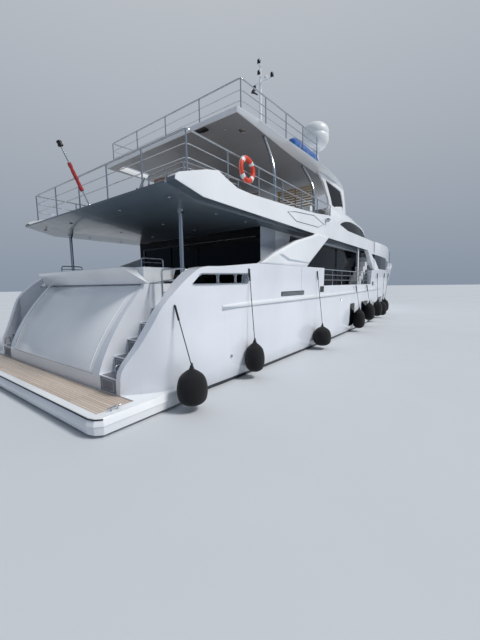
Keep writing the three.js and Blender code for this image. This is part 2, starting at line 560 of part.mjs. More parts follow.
const HARDTOP_POSTS = [
  // name, foot x, y, z, top x, y, z
  ['aft', -10140, 3300, 4300, -9900, 2780, 6500],
  ['fore', -7460, 3300, 4500, -7150, 2660, 6500],
];
function buildHardtopPost([, footX, footY, footZ, topX, topY, topZ], sign, upperDeck, hardtop) {
  const middle = [footX + 60, sign * (footY - 90), (footZ + topZ) / 2];
  const tube = bentTube([[footX, sign * footY, footZ], middle, [topX, sign * topY, topZ]], 48, 5, 10);
  return clearOf(clearOf(tube, upperDeck, [UP, ...AROUND]), hardtop, [DOWN, ...AROUND]);
}

// Railings
function buildHardtopRail(hardtop) {
  const corners = bothSides([[-6460, -2950, 7560], [-11110, -2880, 7340]]);
  return clearOf(railing(corners, [4, 4, 4], () => HARDTOP_TOP - 60, [270, 520]), hardtop, [UP]);
}

const RAIL_LINE = 3400;
const FLY_RAIL_TOP = 5085;
function buildFlyRail(upperDeck) {
  const corners = bothSides([[-6200, -RAIL_LINE, FLY_RAIL_TOP], [-13570, -RAIL_LINE, FLY_RAIL_TOP]]);
  const foot = (x, y) => (Math.abs(y) < 3200 ? UPPER_DECK - 60 : fasciaTop(x) - 60);
  return clearOf(railing(corners, [6, 5, 6], foot, [250, 500]), upperDeck, [UP]);
}

function buildBowRail(hull) {
  const corners = bothSides([[10300, -2350, 4700], [12700, -1560, 4930], [15000, -480, 5040], [15560, 0, 5050]]);
  const bulwark = (x) => Math.min(3560 + (x - 9980) * 0.1186, 3930 + (x - 13100) * 0.098) - 70;
  return clearOf(railing(corners, [2, 2, 1, 1, 2, 2], bulwark, [300]), hull, [UP, ...AROUND]);
}

const buildBalconyRail = (sign) => railing([[-7360, sign * 3560, 2700], [-880, sign * 3560, 2700]], [6],
  () => 2120 + SEAT_GAP, [190, 380]);

// Mast, dome, cover, sunpad
function buildMast(hardtop) {
  const x = -5700;
  const foot = HARDTOP_TOP + SEAT_GAP;
  const mast = join([
    bar([x, 0, foot - 40], [x, 0, 11860], 45, 12),
    turned([[0, 0], [180, 0], [180, 20], [70, 60], [0, 60]], [x, 0, foot]),
    bar([x, 0, 8200], [x - 900, 0, foot + 8], 25),
    bar([x, -420, 11350], [x, 420, 11350], 22),
    bar([x, -260, 11790], [x, 260, 11790], 22),
    bar([x, 0, 11050], [x - 20, -620, 11000], 24),
    turned([[0, -90], [64, -64], [90, 0], [64, 64], [0, 90]], [x - 20, -620, 11040], [0, 0, 1], 12),
    box(x - 60, x + 60, 360, 420, 11300, 11480),
    box(x - 60, x + 60, -420, -360, 11300, 11480),
  ]);
  return clearOf(mast, hardtop, [UP, [0, 0, 0]]);
}

const DOME = { x: -5200, y: -2350, z: 8120, radius: 560 };
function buildDome(hardtop) {
  const { x, y, z, radius } = DOME;
  const profile = [[0, -380], [300, -380], [430, -300], [radius, -120], [radius, 250]];
  for (let i = 1; i <= 6; i += 1) {
    const angle = (Math.PI / 2) * (i / 6);
    profile.push([i === 6 ? 0 : radius * Math.cos(angle), 250 + 270 * Math.sin(angle)]);
  }
  const flange = turned([[0, 0], [260, 0], [260, 30], [0, 60]], [x, y, HARDTOP_TOP]);
  const pedestal = join([bar([x, y, HARDTOP_TOP], [x, y, z - 370], 130, 16), flange]);
  return clearOf(join([pedestal, turned(profile, [x, y, z])]), hardtop, [UP]);
}

function buildCover(hardtop) {
  const arch = [[-2830, 6600], [-2390, 6600], [-2370, 7000], [-2440, 7140], [-2610, 7200], [-2780, 7140], [-2850, 7000]];
  return clearOf(slab('x', arch, -7880, -5900), hardtop, [UP]);
}

function buildSunpad(hardtop) {
  return clearOf(box(-10600, -7900, -2500, 900, 6600, 6790), hardtop, [UP]);
}

// Upper deck furniture
function buildFlySofa() {
  const foot = UPPER_DECK + SEAT_GAP;
  const back = box(-12300, -9700, 2750, 2900, foot, foot + 820);
  const seat = box(-12300, -9700, 2150, 2800, foot, foot + 430);
  const leg = box(-12300, -11650, 600, 2200, foot, foot + 430);
  const legBack = box(-12300, -12150, 600, 2200, foot, foot + 820);
  return join([back, seat, leg, legBack]);
}

function buildFlyTable() {
  const foot = UPPER_DECK + SEAT_GAP;
  const top = box(-11500, -10000, 850, 1750, foot + 710, foot + 750);
  const legs = [-11200, -10300].map((x) => bar([x, 1300, foot], [x, 1300, foot + 720], 50, 12));
  return join([top, ...legs]);
}

function buildHelmBench() {
  const foot = UPPER_DECK + SEAT_GAP;
  const ends = [-1300, 1300].map((y) => box(-6700, -6050, y - 40, y + 40, foot, foot + 420));
  const solids = [...ends, box(-6700, -6050, -1340, 1340, foot + 380, foot + 460)];
  for (let i = 0; i < 4; i += 1) {
    solids.push(box(-6700, -6650, -1340, 1340, foot + 560 + 130 * i, foot + 640 + 130 * i));
  }
  [-1300, 0, 1300].forEach((y) => solids.push(box(-6720, -6640, y - 30, y + 30, foot + 380, foot + 1080)));
  return join(solids);
}

function buildLifeRing() {
  const ring = Array.from({ length: 9 }, (_, i) => {
    const angle = (2 * Math.PI * i) / 8;
    return [240 + 62 * Math.cos(angle), 55 * Math.sin(angle)];
  });
  const flat = RAIL_RADIUS * Math.cos(Math.PI / 6);
  return turned(ring, [-11720, -(RAIL_LINE + flat + 55 + SEAT_GAP), FLY_RAIL_TOP - 240], [0, 1, 0], 20);
}

function buildEnsign() {
  const base = [-13955, -520, UPPER_DECK + SEAT_GAP];
  const foot = turned([[0, 0], [34, 0], [34, 15], [0, 40]], base);
  const staff = bar([-13955, -520, UPPER_DECK + 12], [-14400, -300, 5340], 20, 10);
  const flag = bar([-14060, -470, 4400], [-14290, -355, 5020], 50, 10);
  return join([foot, staff, flag, bar([-14390, -305, 5310], [-14430, -285, 5430], 60, 12)]);
}

// Running gear
const SHAFT = { y: 1500, foreX: -9800, foreZ: -1000, aftX: -13350, aftZ: -1560, radius: 45 };
const shaftAxis = new THREE.Vector3(SHAFT.aftX - SHAFT.foreX, 0, SHAFT.aftZ - SHAFT.foreZ).normalize();
const shaftPoint = (x) => SHAFT.foreZ + ((SHAFT.aftZ - SHAFT.foreZ) * (x - SHAFT.foreX)) / (SHAFT.aftX - SHAFT.foreX);
function buildShaft(sign, hull) {
  const y = sign * SHAFT.y;
  const strutX = -12900;
  const strutZ = shaftPoint(strutX);
  const hub = bar([strutX - 130, y, shaftPoint(strutX - 130)], [strutX + 130, y, shaftPoint(strutX + 130)], 85, 16);
  const foil = (middle, z) => [[-90, -18], [90, -18], [90, 18], [-90, 18]].map(([dx, dy]) => [strutX + dx, middle + dy, z]);
  const leg = (lean) => loft([foil(y, strutZ), foil(y + lean, -300)]);
  const shaft = bar([SHAFT.foreX + 1500, y, shaftPoint(SHAFT.foreX + 1500)], [SHAFT.aftX, y, SHAFT.aftZ], SHAFT.radius, 16);
  return clearOf(join([shaft, hub, leg(-420), leg(420)]), hull, [DOWN, [0, 0, 0]]);
}

const PROPELLER = { x: -13180, hub: 115, bore: 46.2, radius: 480, blades: 5 };
function buildPropeller() {
  const { bore, hub } = PROPELLER;
  const boss = [[bore, -110], [hub, -110], [hub, 60], [70, 130], [bore, 130], [bore, -110]];
  const solids = [turned(boss, [0, 0, 0], [0, 0, 1], 20)];
  for (let i = 0; i < PROPELLER.blades; i += 1) {
    const blade = new THREE.BoxGeometry(PROPELLER.radius - 80, 230, 16);
    blade.rotateX(0.6);
    blade.translate((PROPELLER.radius + 80) / 2, 0, 0);
    blade.rotateZ((2 * Math.PI * i) / PROPELLER.blades);
    solids.push(toSolid(blade));
  }
  return join(solids);
}

function buildRudder(sign) {
  const y = sign * RUDDER.y;
  const foil = [[-14660, y], [-14200, y - 40], [-13990, y - 26], [-13960, y], [-13990, y + 26], [-14200, y + 40]];
  return join([slab('z', foil, -1850, -800), bar([RUDDER.x, y, -900], [RUDDER.x, y, -300], RUDDER.stock, 32)]);
}

// Fenders. Columns: x, centre height, radius, half length, height where the line is tied
const FENDERS = [
  [-14150, 420, 270, 330, 1850],
  [-11970, 500, 230, 350, 2560],
  [-8040, 440, 290, 330, 2600],
  [-3570, 580, 260, 440, 2080],
  [-1700, 760, 260, 440, 2080],
  [530, 750, 260, 440, 2700],
  [2740, 590, 260, 440, 2750],
  [5110, 620, 260, 440, 2800],
];
function sideBreadth(x, z) {
  const index = STATIONS.findIndex((row) => row[0] >= x);
  const [before, after] = [STATIONS[index - 1], STATIONS[index]];
  const part = (x - before[0]) / (after[0] - before[0]);
  const at = (column) => before[column] + (after[column] - before[column]) * part;
  const [railZ, sheerZ] = [at(7), at(8)];
  if (z < railZ) return at(4) + ((at(5) - at(4)) * (z - WATER_Z)) / (railZ - WATER_Z);
  return at(5) + ((at(6) - at(5)) * (z - railZ)) / (sheerZ - railZ);
}

function buildFender([x, z, radius, half, tied], hull) {
  const y = -(Math.max(sideBreadth(x, z), x < -13500 ? 3650 : 0) + radius + 25);
  const profile = [[0, -half], [radius * 0.5, -half * 0.92], [radius * 0.87, -half * 0.7], [radius, -half * 0.3],
    [radius, half * 0.2], [radius * 0.8, half * 0.62], [radius * 0.4, half * 0.88], [45, half], [45, half + 80], [0, half + 80]];
  const line = bar([x, y, z + half + 60], [x, -sideBreadth(x, tied) + 20, tied], 12, 4);
  return clearOf(join([turned(profile, [x, y, z], [0, 0, 1], 12), line]), hull, [DOWN, ...AROUND]);
}

// The assembly
const yacht = new THREE.Group();
yacht.name = 'motor_yacht';

function toGeometry(solid) {
  const mesh = solid.simplify(SLIVER).getMesh();
  const geometry = new THREE.BufferGeometry();
  geometry.setAttribute('position', new THREE.Float32BufferAttribute(mesh.vertProperties, 3));
  geometry.setIndex(new THREE.Uint32BufferAttribute(mesh.triVerts, 1));
  return geometry;
}

function addPiece(name, solid, look, parent = yacht) {
  const mesh = new THREE.Mesh(toGeometry(solid), new THREE.MeshStandardMaterial(LOOK[look]));
  mesh.name = name;
  parent.add(mesh);
}

const moulding = buildHull();
const hull = cut(moulding, SIDES.map(([, sign]) => bulwarkZone(sign, 0)));
const railed = join([moulding, ...SIDES.map(([, sign]) => rubRail(sign))]);
const upperDeck = buildUpperDeck();
const hardtop = buildHardtop();
const pilothouse = buildPilothouse();

addPiece('hull', hull, 'gelcoat');
addPiece('swim_platform', buildPlatform(hull), 'gelcoat');
addPiece('platform_teak', buildPlatformTeak(), 'teak');
addPiece('garage_door', buildGarageDoor(), 'gelcoat');
addPiece('aft_coaming', buildAftCoaming(), 'gelcoat');
addPiece('main_deck_teak', buildMainTeak(), 'teak');
addPiece('cockpit_sofa', buildCockpitSofa(), 'beige');
addPiece('cockpit_table', buildCockpitTable(), 'gelcoat');
addPiece('deckhouse', buildDeckhouse(), 'gelcoat');
addPiece('saloon_glazing', buildSaloonGlazing(), 'glass');
addPiece('forward_house', buildForwardHouse(), 'gelcoat');
addPiece('upper_deck', upperDeck, 'gelcoat');
addPiece('pilothouse', pilothouse, 'gelcoat');
addPiece('pilothouse_glazing', buildPilothouseGlazing(), 'glass');
addPiece('helm_front', buildHelmFront(pilothouse, hardtop), 'gelcoat');
addPiece('hardtop', hardtop, 'gelcoat');
addPiece('hardtop_rail', buildHardtopRail(hardtop), 'steel');
addPiece('fly_rail', buildFlyRail(upperDeck), 'steel');
addPiece('bow_rail', buildBowRail(hull), 'steel');
addPiece('mast', buildMast(hardtop), 'gelcoat');
addPiece('satcom_dome', buildDome(hardtop), 'gelcoat');
addPiece('cover_bundle', buildCover(hardtop), 'blue');
addPiece('hardtop_sunpad', buildSunpad(hardtop), 'beige');
addPiece('fly_sofa', buildFlySofa(), 'beige');
addPiece('fly_table', buildFlyTable(), 'teak');
addPiece('helm_bench', buildHelmBench(), 'beige');
addPiece('life_ring', buildLifeRing(), 'orange');
addPiece('ensign_staff', buildEnsign(), 'red');

for (const [name, sign] of SIDES) {
  addPiece(`bulwark_${name}`, buildBulwark(sign, moulding, hull), 'gelcoat');
  addPiece(`stair_gate_${name}`, buildGate(sign), 'steel');
  addPiece(`saloon_door_${name}`, buildSaloonDoor(sign), 'glass');
  addPiece(`forward_glass_${name}`, buildForwardGlass(sign), 'glass');
  addPiece(`buttress_${name}`, buildButtress(sign, moulding, upperDeck), 'gelcoat');
  addPiece(`cockpit_post_${name}`, buildCockpitPost(sign), 'steel');
  addPiece(`balcony_rail_${name}`, buildBalconyRail(sign), 'steel');
  for (const row of HARDTOP_POSTS) {
    addPiece(`hardtop_post_${row[0]}_${name}`, buildHardtopPost(row, sign, upperDeck, hardtop), 'steel');
  }
  addPiece(`shaft_${name}`, buildShaft(sign, hull), 'steel');
  addPiece(`rudder_${name}`, buildRudder(sign), 'bronze');

  const propellerPlace = new THREE.Group();
  propellerPlace.position.set(PROPELLER.x, sign * SHAFT.y, shaftPoint(PROPELLER.x));
  propellerPlace.quaternion.setFromUnitVectors(new THREE.Vector3(0, 0, 1), shaftAxis);
  yacht.add(propellerPlace);
  addPiece(`propeller_${name}`, buildPropeller(), 'bronze', propellerPlace);
}

FENDERS.forEach((row, i) => addPiece(`fender_${i + 1}`, buildFender(row, railed), 'black'));

export default yacht;
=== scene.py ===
# %% [markdown]
# # A motor yacht in cells
# The solids of the yacht come from its CAD model and stay where they are. This notebook dresses them: it
# hides a plain solid where a smoother mesh can stand for it, gives every surface the finish of its real
# material, and adds what is too small for the solids. Everything is in metres: +X is the bow, +Y is port, and
# the water is at z = 0.

import math
import time

import bmesh
import bpy
from mathutils import Matrix, Vector
from mathutils.bvhtree import BVHTree


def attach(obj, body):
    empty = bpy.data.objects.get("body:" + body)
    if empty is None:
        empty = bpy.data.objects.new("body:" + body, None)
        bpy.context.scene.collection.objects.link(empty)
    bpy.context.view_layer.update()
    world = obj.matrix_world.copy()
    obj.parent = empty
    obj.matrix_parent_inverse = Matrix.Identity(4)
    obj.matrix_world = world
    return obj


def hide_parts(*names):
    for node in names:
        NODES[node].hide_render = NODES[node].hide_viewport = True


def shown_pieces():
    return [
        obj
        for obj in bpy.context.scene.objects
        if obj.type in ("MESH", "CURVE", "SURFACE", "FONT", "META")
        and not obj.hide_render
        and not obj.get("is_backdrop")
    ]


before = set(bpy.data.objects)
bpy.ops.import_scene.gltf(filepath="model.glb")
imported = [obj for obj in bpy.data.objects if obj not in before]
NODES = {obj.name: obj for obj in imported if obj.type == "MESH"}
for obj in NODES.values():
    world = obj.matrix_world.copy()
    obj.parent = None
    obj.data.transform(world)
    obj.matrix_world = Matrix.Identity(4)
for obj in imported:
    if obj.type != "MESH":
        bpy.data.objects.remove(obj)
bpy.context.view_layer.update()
SIDES = [("starboard", -1), ("port", 1)]

# %% [markdown]
# ## The camera
# The photograph was taken with a wide lens, standing near the stern at eye height. A wide lens exaggerates
# what is near, so the camera has to stand where the real one stood: a longer lens further away would flatten
# the stern.

# %% Camera
EYE = (-17.81, -7.75, 2.2)
RIGHT = (0.59693316, -0.80214131, -0.01549478)
UPWARD = (0.10166111, 0.0564679, 0.99321518)
BACKWARD = (-0.79582399, -0.59445829, 0.11525414)
lens = bpy.data.cameras.new("camera")
lens.sensor_width = 36
lens.lens = 17.17
lens.clip_end = 500
camera = bpy.data.objects.new("camera", lens)
camera.matrix_world = Matrix([[RIGHT[i], UPWARD[i], BACKWARD[i], EYE[i]] for i in range(3)] + [[0, 0, 0, 1]])
bpy.context.scene.collection.objects.link(camera)
bpy.context.scene.camera = camera
print("camera at", EYE, "with a lens of", round(lens.lens, 2), "mm")

# %% [markdown]
# ## Materials: small helpers
# Hex colours are sRGB, and Blender's sockets are linear, so one function turns the one into the other. A
# second one adds a node, sets its properties, and links or sets its inputs, so that each recipe below reads
# as a short list.

# %% Colour and node helpers
def linear(hex_colour):
    channels = [int(hex_colour[i:i + 2], 16) / 255 for i in (1, 3, 5)]
    return (*[c / 12.92 if c <= 0.04045 else ((c + 0.055) / 1.055) ** 2.4 for c in channels], 1.0)


def add(tree, kind, inputs=(), **settings):
    made = tree.nodes.new(kind)
    for name, value in settings.items():
        setattr(made, name, value)
    for key, value in dict(inputs).items():
        if isinstance(value, bpy.types.NodeSocket):
            tree.links.new(value, made.inputs[key])
        else:
            made.inputs[key].default_value = value
    return made


def finish(name, colour, roughness, **more):
    """A new material: its tree, its shader with the plain values set, and its object coordinates."""
    material = bpy.data.materials.new(name)
    material.use_nodes = True
    tree = material.node_tree
    shader = tree.nodes["Principled BSDF"]
    shader.inputs["Base Color"].default_value = linear(colour)
    shader.inputs["Roughness"].default_value = roughness
    for key, value in more.items():
        shader.inputs[key.replace("_", " ")].default_value = value
    where = add(tree, "ShaderNodeTexCoord").outputs["Object"]
    print("finish:", name, colour)
    return material, tree, shader, where


def noise(tree, where, size_mm, detail=3.0, stretch=(1, 1, 1)):
    """Cloudy noise whose blobs are about size_mm across, or longer along an axis that is stretched."""
    scaled = add(tree, "ShaderNodeMapping", {"Vector": where, "Scale": [1 / s for s in stretch]})
    return add(tree, "ShaderNodeTexNoise", {"Vector": scaled.outputs[0], "Scale": 1000 / size_mm,
                                            "Detail": detail}).outputs["Fac"]


def between(tree, factor, first, second):
    """A colour that goes from the first to the second as the factor goes from 0 to 1."""
    mixed = add(tree, "ShaderNodeMix", {0: factor}, data_type="RGBA")
    for index, colour in ((6, first), (7, second)):
        if isinstance(colour, bpy.types.NodeSocket):
            tree.links.new(colour, mixed.inputs[index])
        else:
            mixed.inputs[index].default_value = linear(colour)
    return mixed.outputs[2]


def spread(tree, value, low, high, to_low=0.0, to_high=1.0):
    return add(tree, "ShaderNodeMapRange", {0: value, 1: low, 2: high, 3: to_low, 4: to_high}).outputs[0]


def bump(tree, shader, height, deep_mm, strength=1.0):
    made = add(tree, "ShaderNodeBump", {"Height": height, "Distance": deep_mm / 1000, "Strength": strength})
    tree.links.new(made.outputs[0], shader.inputs["Normal"])


FINISH = {}
print("#808080 is", round(linear("#808080")[0], 3), "in linear light")

# %% [markdown]
# ## Gelcoat
# The yacht's skin is gelcoat: pigmented polyester sprayed into a polished mould, so it is glossy and very
# white. The eye reads it by its clear reflections, a faint waviness, and the grey streaks that rain leaves
# under every edge. The streaks are noise drawn 15 times longer down than across. Just above the water a dark
# boot top is painted, and a little yellow scum clings to the hull over it.

# %% Gelcoat finishes
BOOT_TOP_Z, BOOT_TOP_COLOUR = 0.095, "#1a2433"
SCUM_LOW, SCUM_HIGH, SCUM_COLOUR = 0.12, 0.42, "#8d8a6e"


def gelcoat(name, colour, streak, roughness=0.16, boot_top=False):
    material, tree, shader, where = finish(name, colour, roughness, Coat_Weight=0.3, Coat_Roughness=0.06)
    clouds = noise(tree, where, 1400)
    base = between(tree, spread(tree, clouds, 0.35, 0.75, 0, 0.35), colour, streak)
    streaks = noise(tree, where, 90, 4, (1, 1, 15))
    base = between(tree, spread(tree, streaks, 0.56, 0.85, 0, 0.12), base, streak)
    rough = spread(tree, noise(tree, where, 300), 0.3, 0.8, roughness * 0.92, roughness * 1.15)
    if boot_top:
        height = add(tree, "ShaderNodeSeparateXYZ", {0: where}).outputs[2]
        scum = spread(tree, height, SCUM_LOW, SCUM_HIGH, 0.35, 0)
        base = between(tree, add(tree, "ShaderNodeMath", {0: scum, 1: streaks},
                                 operation="MULTIPLY").outputs[0], base, SCUM_COLOUR)
        below = add(tree, "ShaderNodeMath", {0: height, 1: BOOT_TOP_Z}, operation="LESS_THAN").outputs[0]
        base = between(tree, below, base, BOOT_TOP_COLOUR)
        rough = add(tree, "ShaderNodeMix", {0: below, 2: rough, 3: 0.6}).outputs[0]
    tree.links.new(base, shader.inputs["Base Color"])
    tree.links.new(rough, shader.inputs["Roughness"])
    bump(tree, shader, noise(tree, where, 420, 1), 0.9, 0.5)
    FINISH[name] = material


gelcoat("gelcoat_white", "#f1f4f7", "#c9ced4")
gelcoat("gelcoat_topsides", "#e9edf4", "#c5cbd4", boot_top=True)
# gelcoat_shaded is white gelcoat painted grey-blue: painted shade where it stands for parts in shadow.
gelcoat("gelcoat_shaded", "#b7c0ca", "#8f9aa6", 0.3)
# The soffit finish is white gelcoat painted dark blue-grey: painted shade for the undersides of the upper
# deck.
gelcoat("soffit_painted_shade", "#57646f", "#525f6a", 0.3)
# The ceiling finish is white gelcoat painted grey: painted shade under the hardtop.
gelcoat("ceiling_painted_shade", "#969aa1", "#8f939a", 0.4)

# %% [markdown]
# Where people walk, the mould has a fine diamond grain so that wet feet grip. The real grain is 2 mm, too
# fine for this view, so it is drawn at 14 mm: the eye only needs to see that the deck is duller than the
# sides.

# %% Non-skid deck
GRAIN_MM = 14


def nonskid(name, clean, worn):
    material, tree, shader, where = finish(name, clean, 0.6)
    cells = add(tree, "ShaderNodeTexVoronoi", {"Vector": where, "Scale": 1000 / GRAIN_MM}).outputs["Distance"]
    wear = spread(tree, noise(tree, where, 700), 0.4, 0.7)
    tree.links.new(between(tree, wear, clean, worn), shader.inputs["Base Color"])
    bump(tree, shader, cells, 1.5, 0.6)
    FINISH[name] = material


nonskid("nonskid_moulded", "#e3e6e6", "#cbcfcf")
# The tread grip is grey grip darkened further as painted shade; the white risers use it too, as painted
# shade.
nonskid("grip_grey_painted_shade", "#7d8087", "#6a6c72")

# %% [markdown]
# ## Teak
# The decks are laid with teak planks 55 mm wide, with black rubber caulking 5 mm wide between them. Sun and
# salt turn teak from brown to a pale silvery tan. A brick pattern gives planks and caulking at once: a brick
# is one plank, 2.4 m long, and its mortar is the caulking. Fine stretched noise draws the grain along each
# plank.

# %% Teak and varnished wood
def planks(name, along_y, pale, dark, caulking, width_mm=55, gap_mm=5, rough=0.65, coat=0.0):
    material, tree, shader, where = finish(name, pale, rough, Coat_Weight=coat, Coat_Roughness=0.1)
    turned_over = add(tree, "ShaderNodeMapping",
                      {"Vector": where, "Rotation": (0, 0, math.pi / 2 * along_y)}).outputs[0]
    laid = add(tree, "ShaderNodeTexBrick", {"Vector": turned_over, "Color1": linear(pale),
                                            "Color2": linear(dark), "Mortar": linear(caulking), "Scale": 1.0,
                                            "Mortar Size": gap_mm / 2000, "Mortar Smooth": 0.1, "Bias": -0.3,
                                            "Brick Width": 2.4, "Row Height": width_mm / 1000})
    grain = noise(tree, turned_over, 12, 4, (18, 1, 18))
    weathered = noise(tree, where, 900)
    base = between(tree, spread(tree, grain, 0.4, 0.75, 0, 0.45), laid.outputs["Color"], dark)
    base = between(tree, spread(tree, weathered, 0.45, 0.7, 0, 0.35), base, "#b9b2a6")
    base = between(tree, laid.outputs["Fac"], base, caulking)
    tree.links.new(base, shader.inputs["Base Color"])
    height = add(tree, "ShaderNodeMath", {0: laid.outputs["Fac"], 1: -1.0, 2: grain},
                 operation="MULTIPLY_ADD")
    bump(tree, shader, height.outputs[0], 1.2, 0.5)
    FINISH[name] = material


planks("teak_athwart", 1, "#cfc2b6", "#b5a496", "#5c544e")
planks("teak_fore_aft", 0, "#c6b7a6", "#a99784", "#4a433d")
planks("varnished_wood", 0, "#8a5a38", "#6b4023", "#4a2c18", 110, 2, 0.3, 0.6)
planks("wood_golden", 1, "#b99a5e", "#96743c", "#5a4322", 90, 2, 0.35, 0.5)

# %% [markdown]
# ## Metals
# Rails and posts are stainless steel tube, polished to a mirror: what shows is the sky and a soft smear where
# salt has dried. Propellers and rudders are bronze, cast and brushed, with a brown patina and a little green.

# %% Stainless steel, bronze and zinc
def metal(name, colour, stain, roughness, size_mm):
    material, tree, shader, where = finish(name, colour, roughness, Metallic=1.0)
    marks = noise(tree, where, size_mm, 4)
    tree.links.new(between(tree, spread(tree, marks, 0.5, 0.8, 0, 0.6), colour, stain),
                   shader.inputs["Base Color"])
    tree.links.new(spread(tree, marks, 0.3, 0.8, roughness * 0.6, roughness * 1.9),
                   shader.inputs["Roughness"])
    bump(tree, shader, noise(tree, where, 30, 2), 0.1, 0.2)
    FINISH[name] = material


metal("stainless_polished", "#bcc1c7", "#8e949b", 0.14, 120)
metal("bronze_cast", "#a8834a", "#5f6b4a", 0.38, 60)
metal("zinc_grey", "#8f9499", "#6f7479", 0.5, 40)

# %% [markdown]
# ## Glass
# The windows are tempered glass with a dark tint, which from outside looks black and reflects the sky. There
# is nothing to see behind it, so a dark glossy body gives the eye all of that at less cost than real
# refraction. Dust makes the reflection a little soft in patches.

# %% Tinted glass, lenses and dark plastics
def smooth_solid(name, colour, second, roughness, size_mm=200, depth_mm=0.0, **more):
    material, tree, shader, where = finish(name, colour, roughness, **more)
    patches = noise(tree, where, size_mm)
    tree.links.new(between(tree, spread(tree, patches, 0.4, 0.75), colour, second),
                   shader.inputs["Base Color"])
    tree.links.new(spread(tree, patches, 0.3, 0.8, roughness * 0.7, roughness * 1.6),
                   shader.inputs["Roughness"])
    if depth_mm:
        bump(tree, shader, patches, depth_mm, 0.6)
    FINISH[name] = material


smooth_solid("glass_tinted", "#06090d", "#0b1016", 0.04, 600, Specular_IOR_Level=0.13)
smooth_solid("radome_plastic", "#eceff0", "#dde1e2", 0.32, 300)
smooth_solid("rubber_black", "#17181b", "#24262a", 0.55, 30, 0.3)
smooth_solid("abs_black", "#101114", "#1b1d21", 0.3, 40)
smooth_solid("lamp_lens", "#dfe6ea", "#c9d4da", 0.08, 40, Transmission_Weight=0.4)
smooth_solid("pvc_orange", "#e2452c", "#cf3a24", 0.42, 60, 0.3)
smooth_solid("tape_white", "#e9ecee", "#d3d8dc", 0.35, 25, 0.2)

# %% [markdown]
# ## Cloth
# Fender covers are knitted polyester, cushions are woven acrylic, the cover on the hardtop is coated canvas
# and the ensign is light bunting. A weave is two sets of threads that cross, so the recipe multiplies two
# wave patterns. Real threads are 1 mm apart or less, and here they are drawn 6 to 15 mm apart so that they
# show at all.

# %% Woven and knitted finishes
BANDS_PER_METRE = 3.2  # what a wave texture draws at scale 1


def cloth(name, colour, worn, thread_mm, roughness=0.9, sheen=0.3, crease_mm=250, crease_deep_mm=2.0):
    material, tree, shader, where = finish(name, colour, roughness, Sheen_Weight=sheen, Sheen_Roughness=0.5)
    bands = [add(tree, "ShaderNodeTexWave", {"Vector": where, "Scale": 1000 / thread_mm / BANDS_PER_METRE,
                                             "Distortion": 0.6, "Detail": 1.0},
                 bands_direction=axis).outputs["Fac"] for axis in "XYZ"]
    crossed = add(tree, "ShaderNodeMath", {0: bands[0], 1: bands[1]}, operation="MULTIPLY").outputs[0]
    crossed = add(tree, "ShaderNodeMath", {0: crossed, 1: bands[2]}, operation="ADD").outputs[0]
    patches = noise(tree, where, crease_mm, 3)
    base = between(tree, spread(tree, patches, 0.4, 0.75, 0, 0.7), colour, worn)
    # Where the threads don't cross, the colour goes towards near black: painted shade in the hollows of the
    # weave.
    base = between(tree, spread(tree, crossed, 0.2, 1.6, 0.25, 0), base, "#0b0b0d")
    tree.links.new(base, shader.inputs["Base Color"])
    height = add(tree, "ShaderNodeMath", {0: patches, 1: crease_deep_mm, 2: crossed},
                 operation="MULTIPLY_ADD")
    bump(tree, shader, height.outputs[0], 1.2, 0.7)
    FINISH[name] = material


cloth("knit_black", "#0a0b0f", "#14161b", 15, sheen=0.08)
cloth("acrylic_sand", "#d6cdb8", "#bfb49c", 8)
cloth("canvas_blue", "#1f6fc4", "#1a4f93", 8, 0.6, 0.2, 180, 5)
cloth("bunting_red", "#b3262b", "#8c1a20", 6, 0.8)
cloth("rope_white", "#d9dbdc", "#b3b5b4", 8)
cloth("rope_black", "#1c1d20", "#2d2e33", 8)

# %% [markdown]
# ## The set
# A pale floor lies at the waterline, as if the yacht were afloat in milk. One large soft light stands for the
# sun on the starboard side, high and a little forward, so that the transom is in shade as in the photograph.
# The sky gives the rest: it is brighter above than near the horizon, which keeps the ceilings under each deck
# darker, and bluer astern, where the transom faces it.

# %% Floor, sky and lights
def stage_plane(size, height):
    mesh = bpy.data.meshes.new("floor")
    mesh.from_pydata([(-size, -size, height), (size, -size, height), (size, size, height),
                      (-size, size, height)], [], [(0, 1, 2, 3)])
    made = bpy.data.objects.new("floor", mesh)
    bpy.context.scene.collection.objects.link(made)
    made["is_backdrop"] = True
    return made


FLOOR_HALF = 220
floor = stage_plane(FLOOR_HALF, 0.0)
smooth_solid("studio_floor", "#c9cdd2", "#c4c8cd", 0.7, 4000)
floor.data.materials.append(FINISH["studio_floor"])

world = bpy.data.worlds.new("studio")
bpy.context.scene.world = world
world.use_nodes = True
sky_tree = world.node_tree
sky = add(sky_tree, "ShaderNodeTexCoord").outputs["Generated"]
up_share = add(sky_tree, "ShaderNodeSeparateXYZ", {0: sky}).outputs[2]
ahead = add(sky_tree, "ShaderNodeSeparateXYZ", {0: sky}).outputs[0]
high_sky = between(sky_tree, spread(sky_tree, up_share, -0.05, 0.8), "#a5b4c8", "#f0f5fc")
sky_colour = between(sky_tree, spread(sky_tree, ahead, 0.1, -0.8, 0.0, 0.75), high_sky, "#67809f")
background = sky_tree.nodes["Background"]
sky_tree.links.new(sky_colour, background.inputs["Color"])
background.inputs["Strength"].default_value = 0.62

sun = bpy.data.lights.new("soft_key", "SUN")
sun.energy = 2.3
sun.angle = math.radians(14)
sun.color = (1.0, 0.975, 0.94)
sun_object = bpy.data.objects.new("soft_key", sun)
sun_object.rotation_mode = "QUATERNION"
sun_object.rotation_quaternion = Vector((0.22, -0.62, 0.75)).to_track_quat("Z", "Y")
bpy.context.scene.collection.objects.link(sun_object)
bpy.context.scene.view_settings.view_transform = "Standard"
print("floor:", 2 * FLOOR_HALF, "m wide; sun:", sun.energy, "over", round(math.degrees(sun.angle)), "degrees")

# %% [markdown]
# ## Shapes
# Boatbuilding shapes are few: a plank or plate (an outline pushed along an axis), a skin drawn over ribs (a
# loft), a bent tube, and a turned body. Each helper below returns points and faces, so many small shapes can
# be joined into one mesh before it becomes an object.

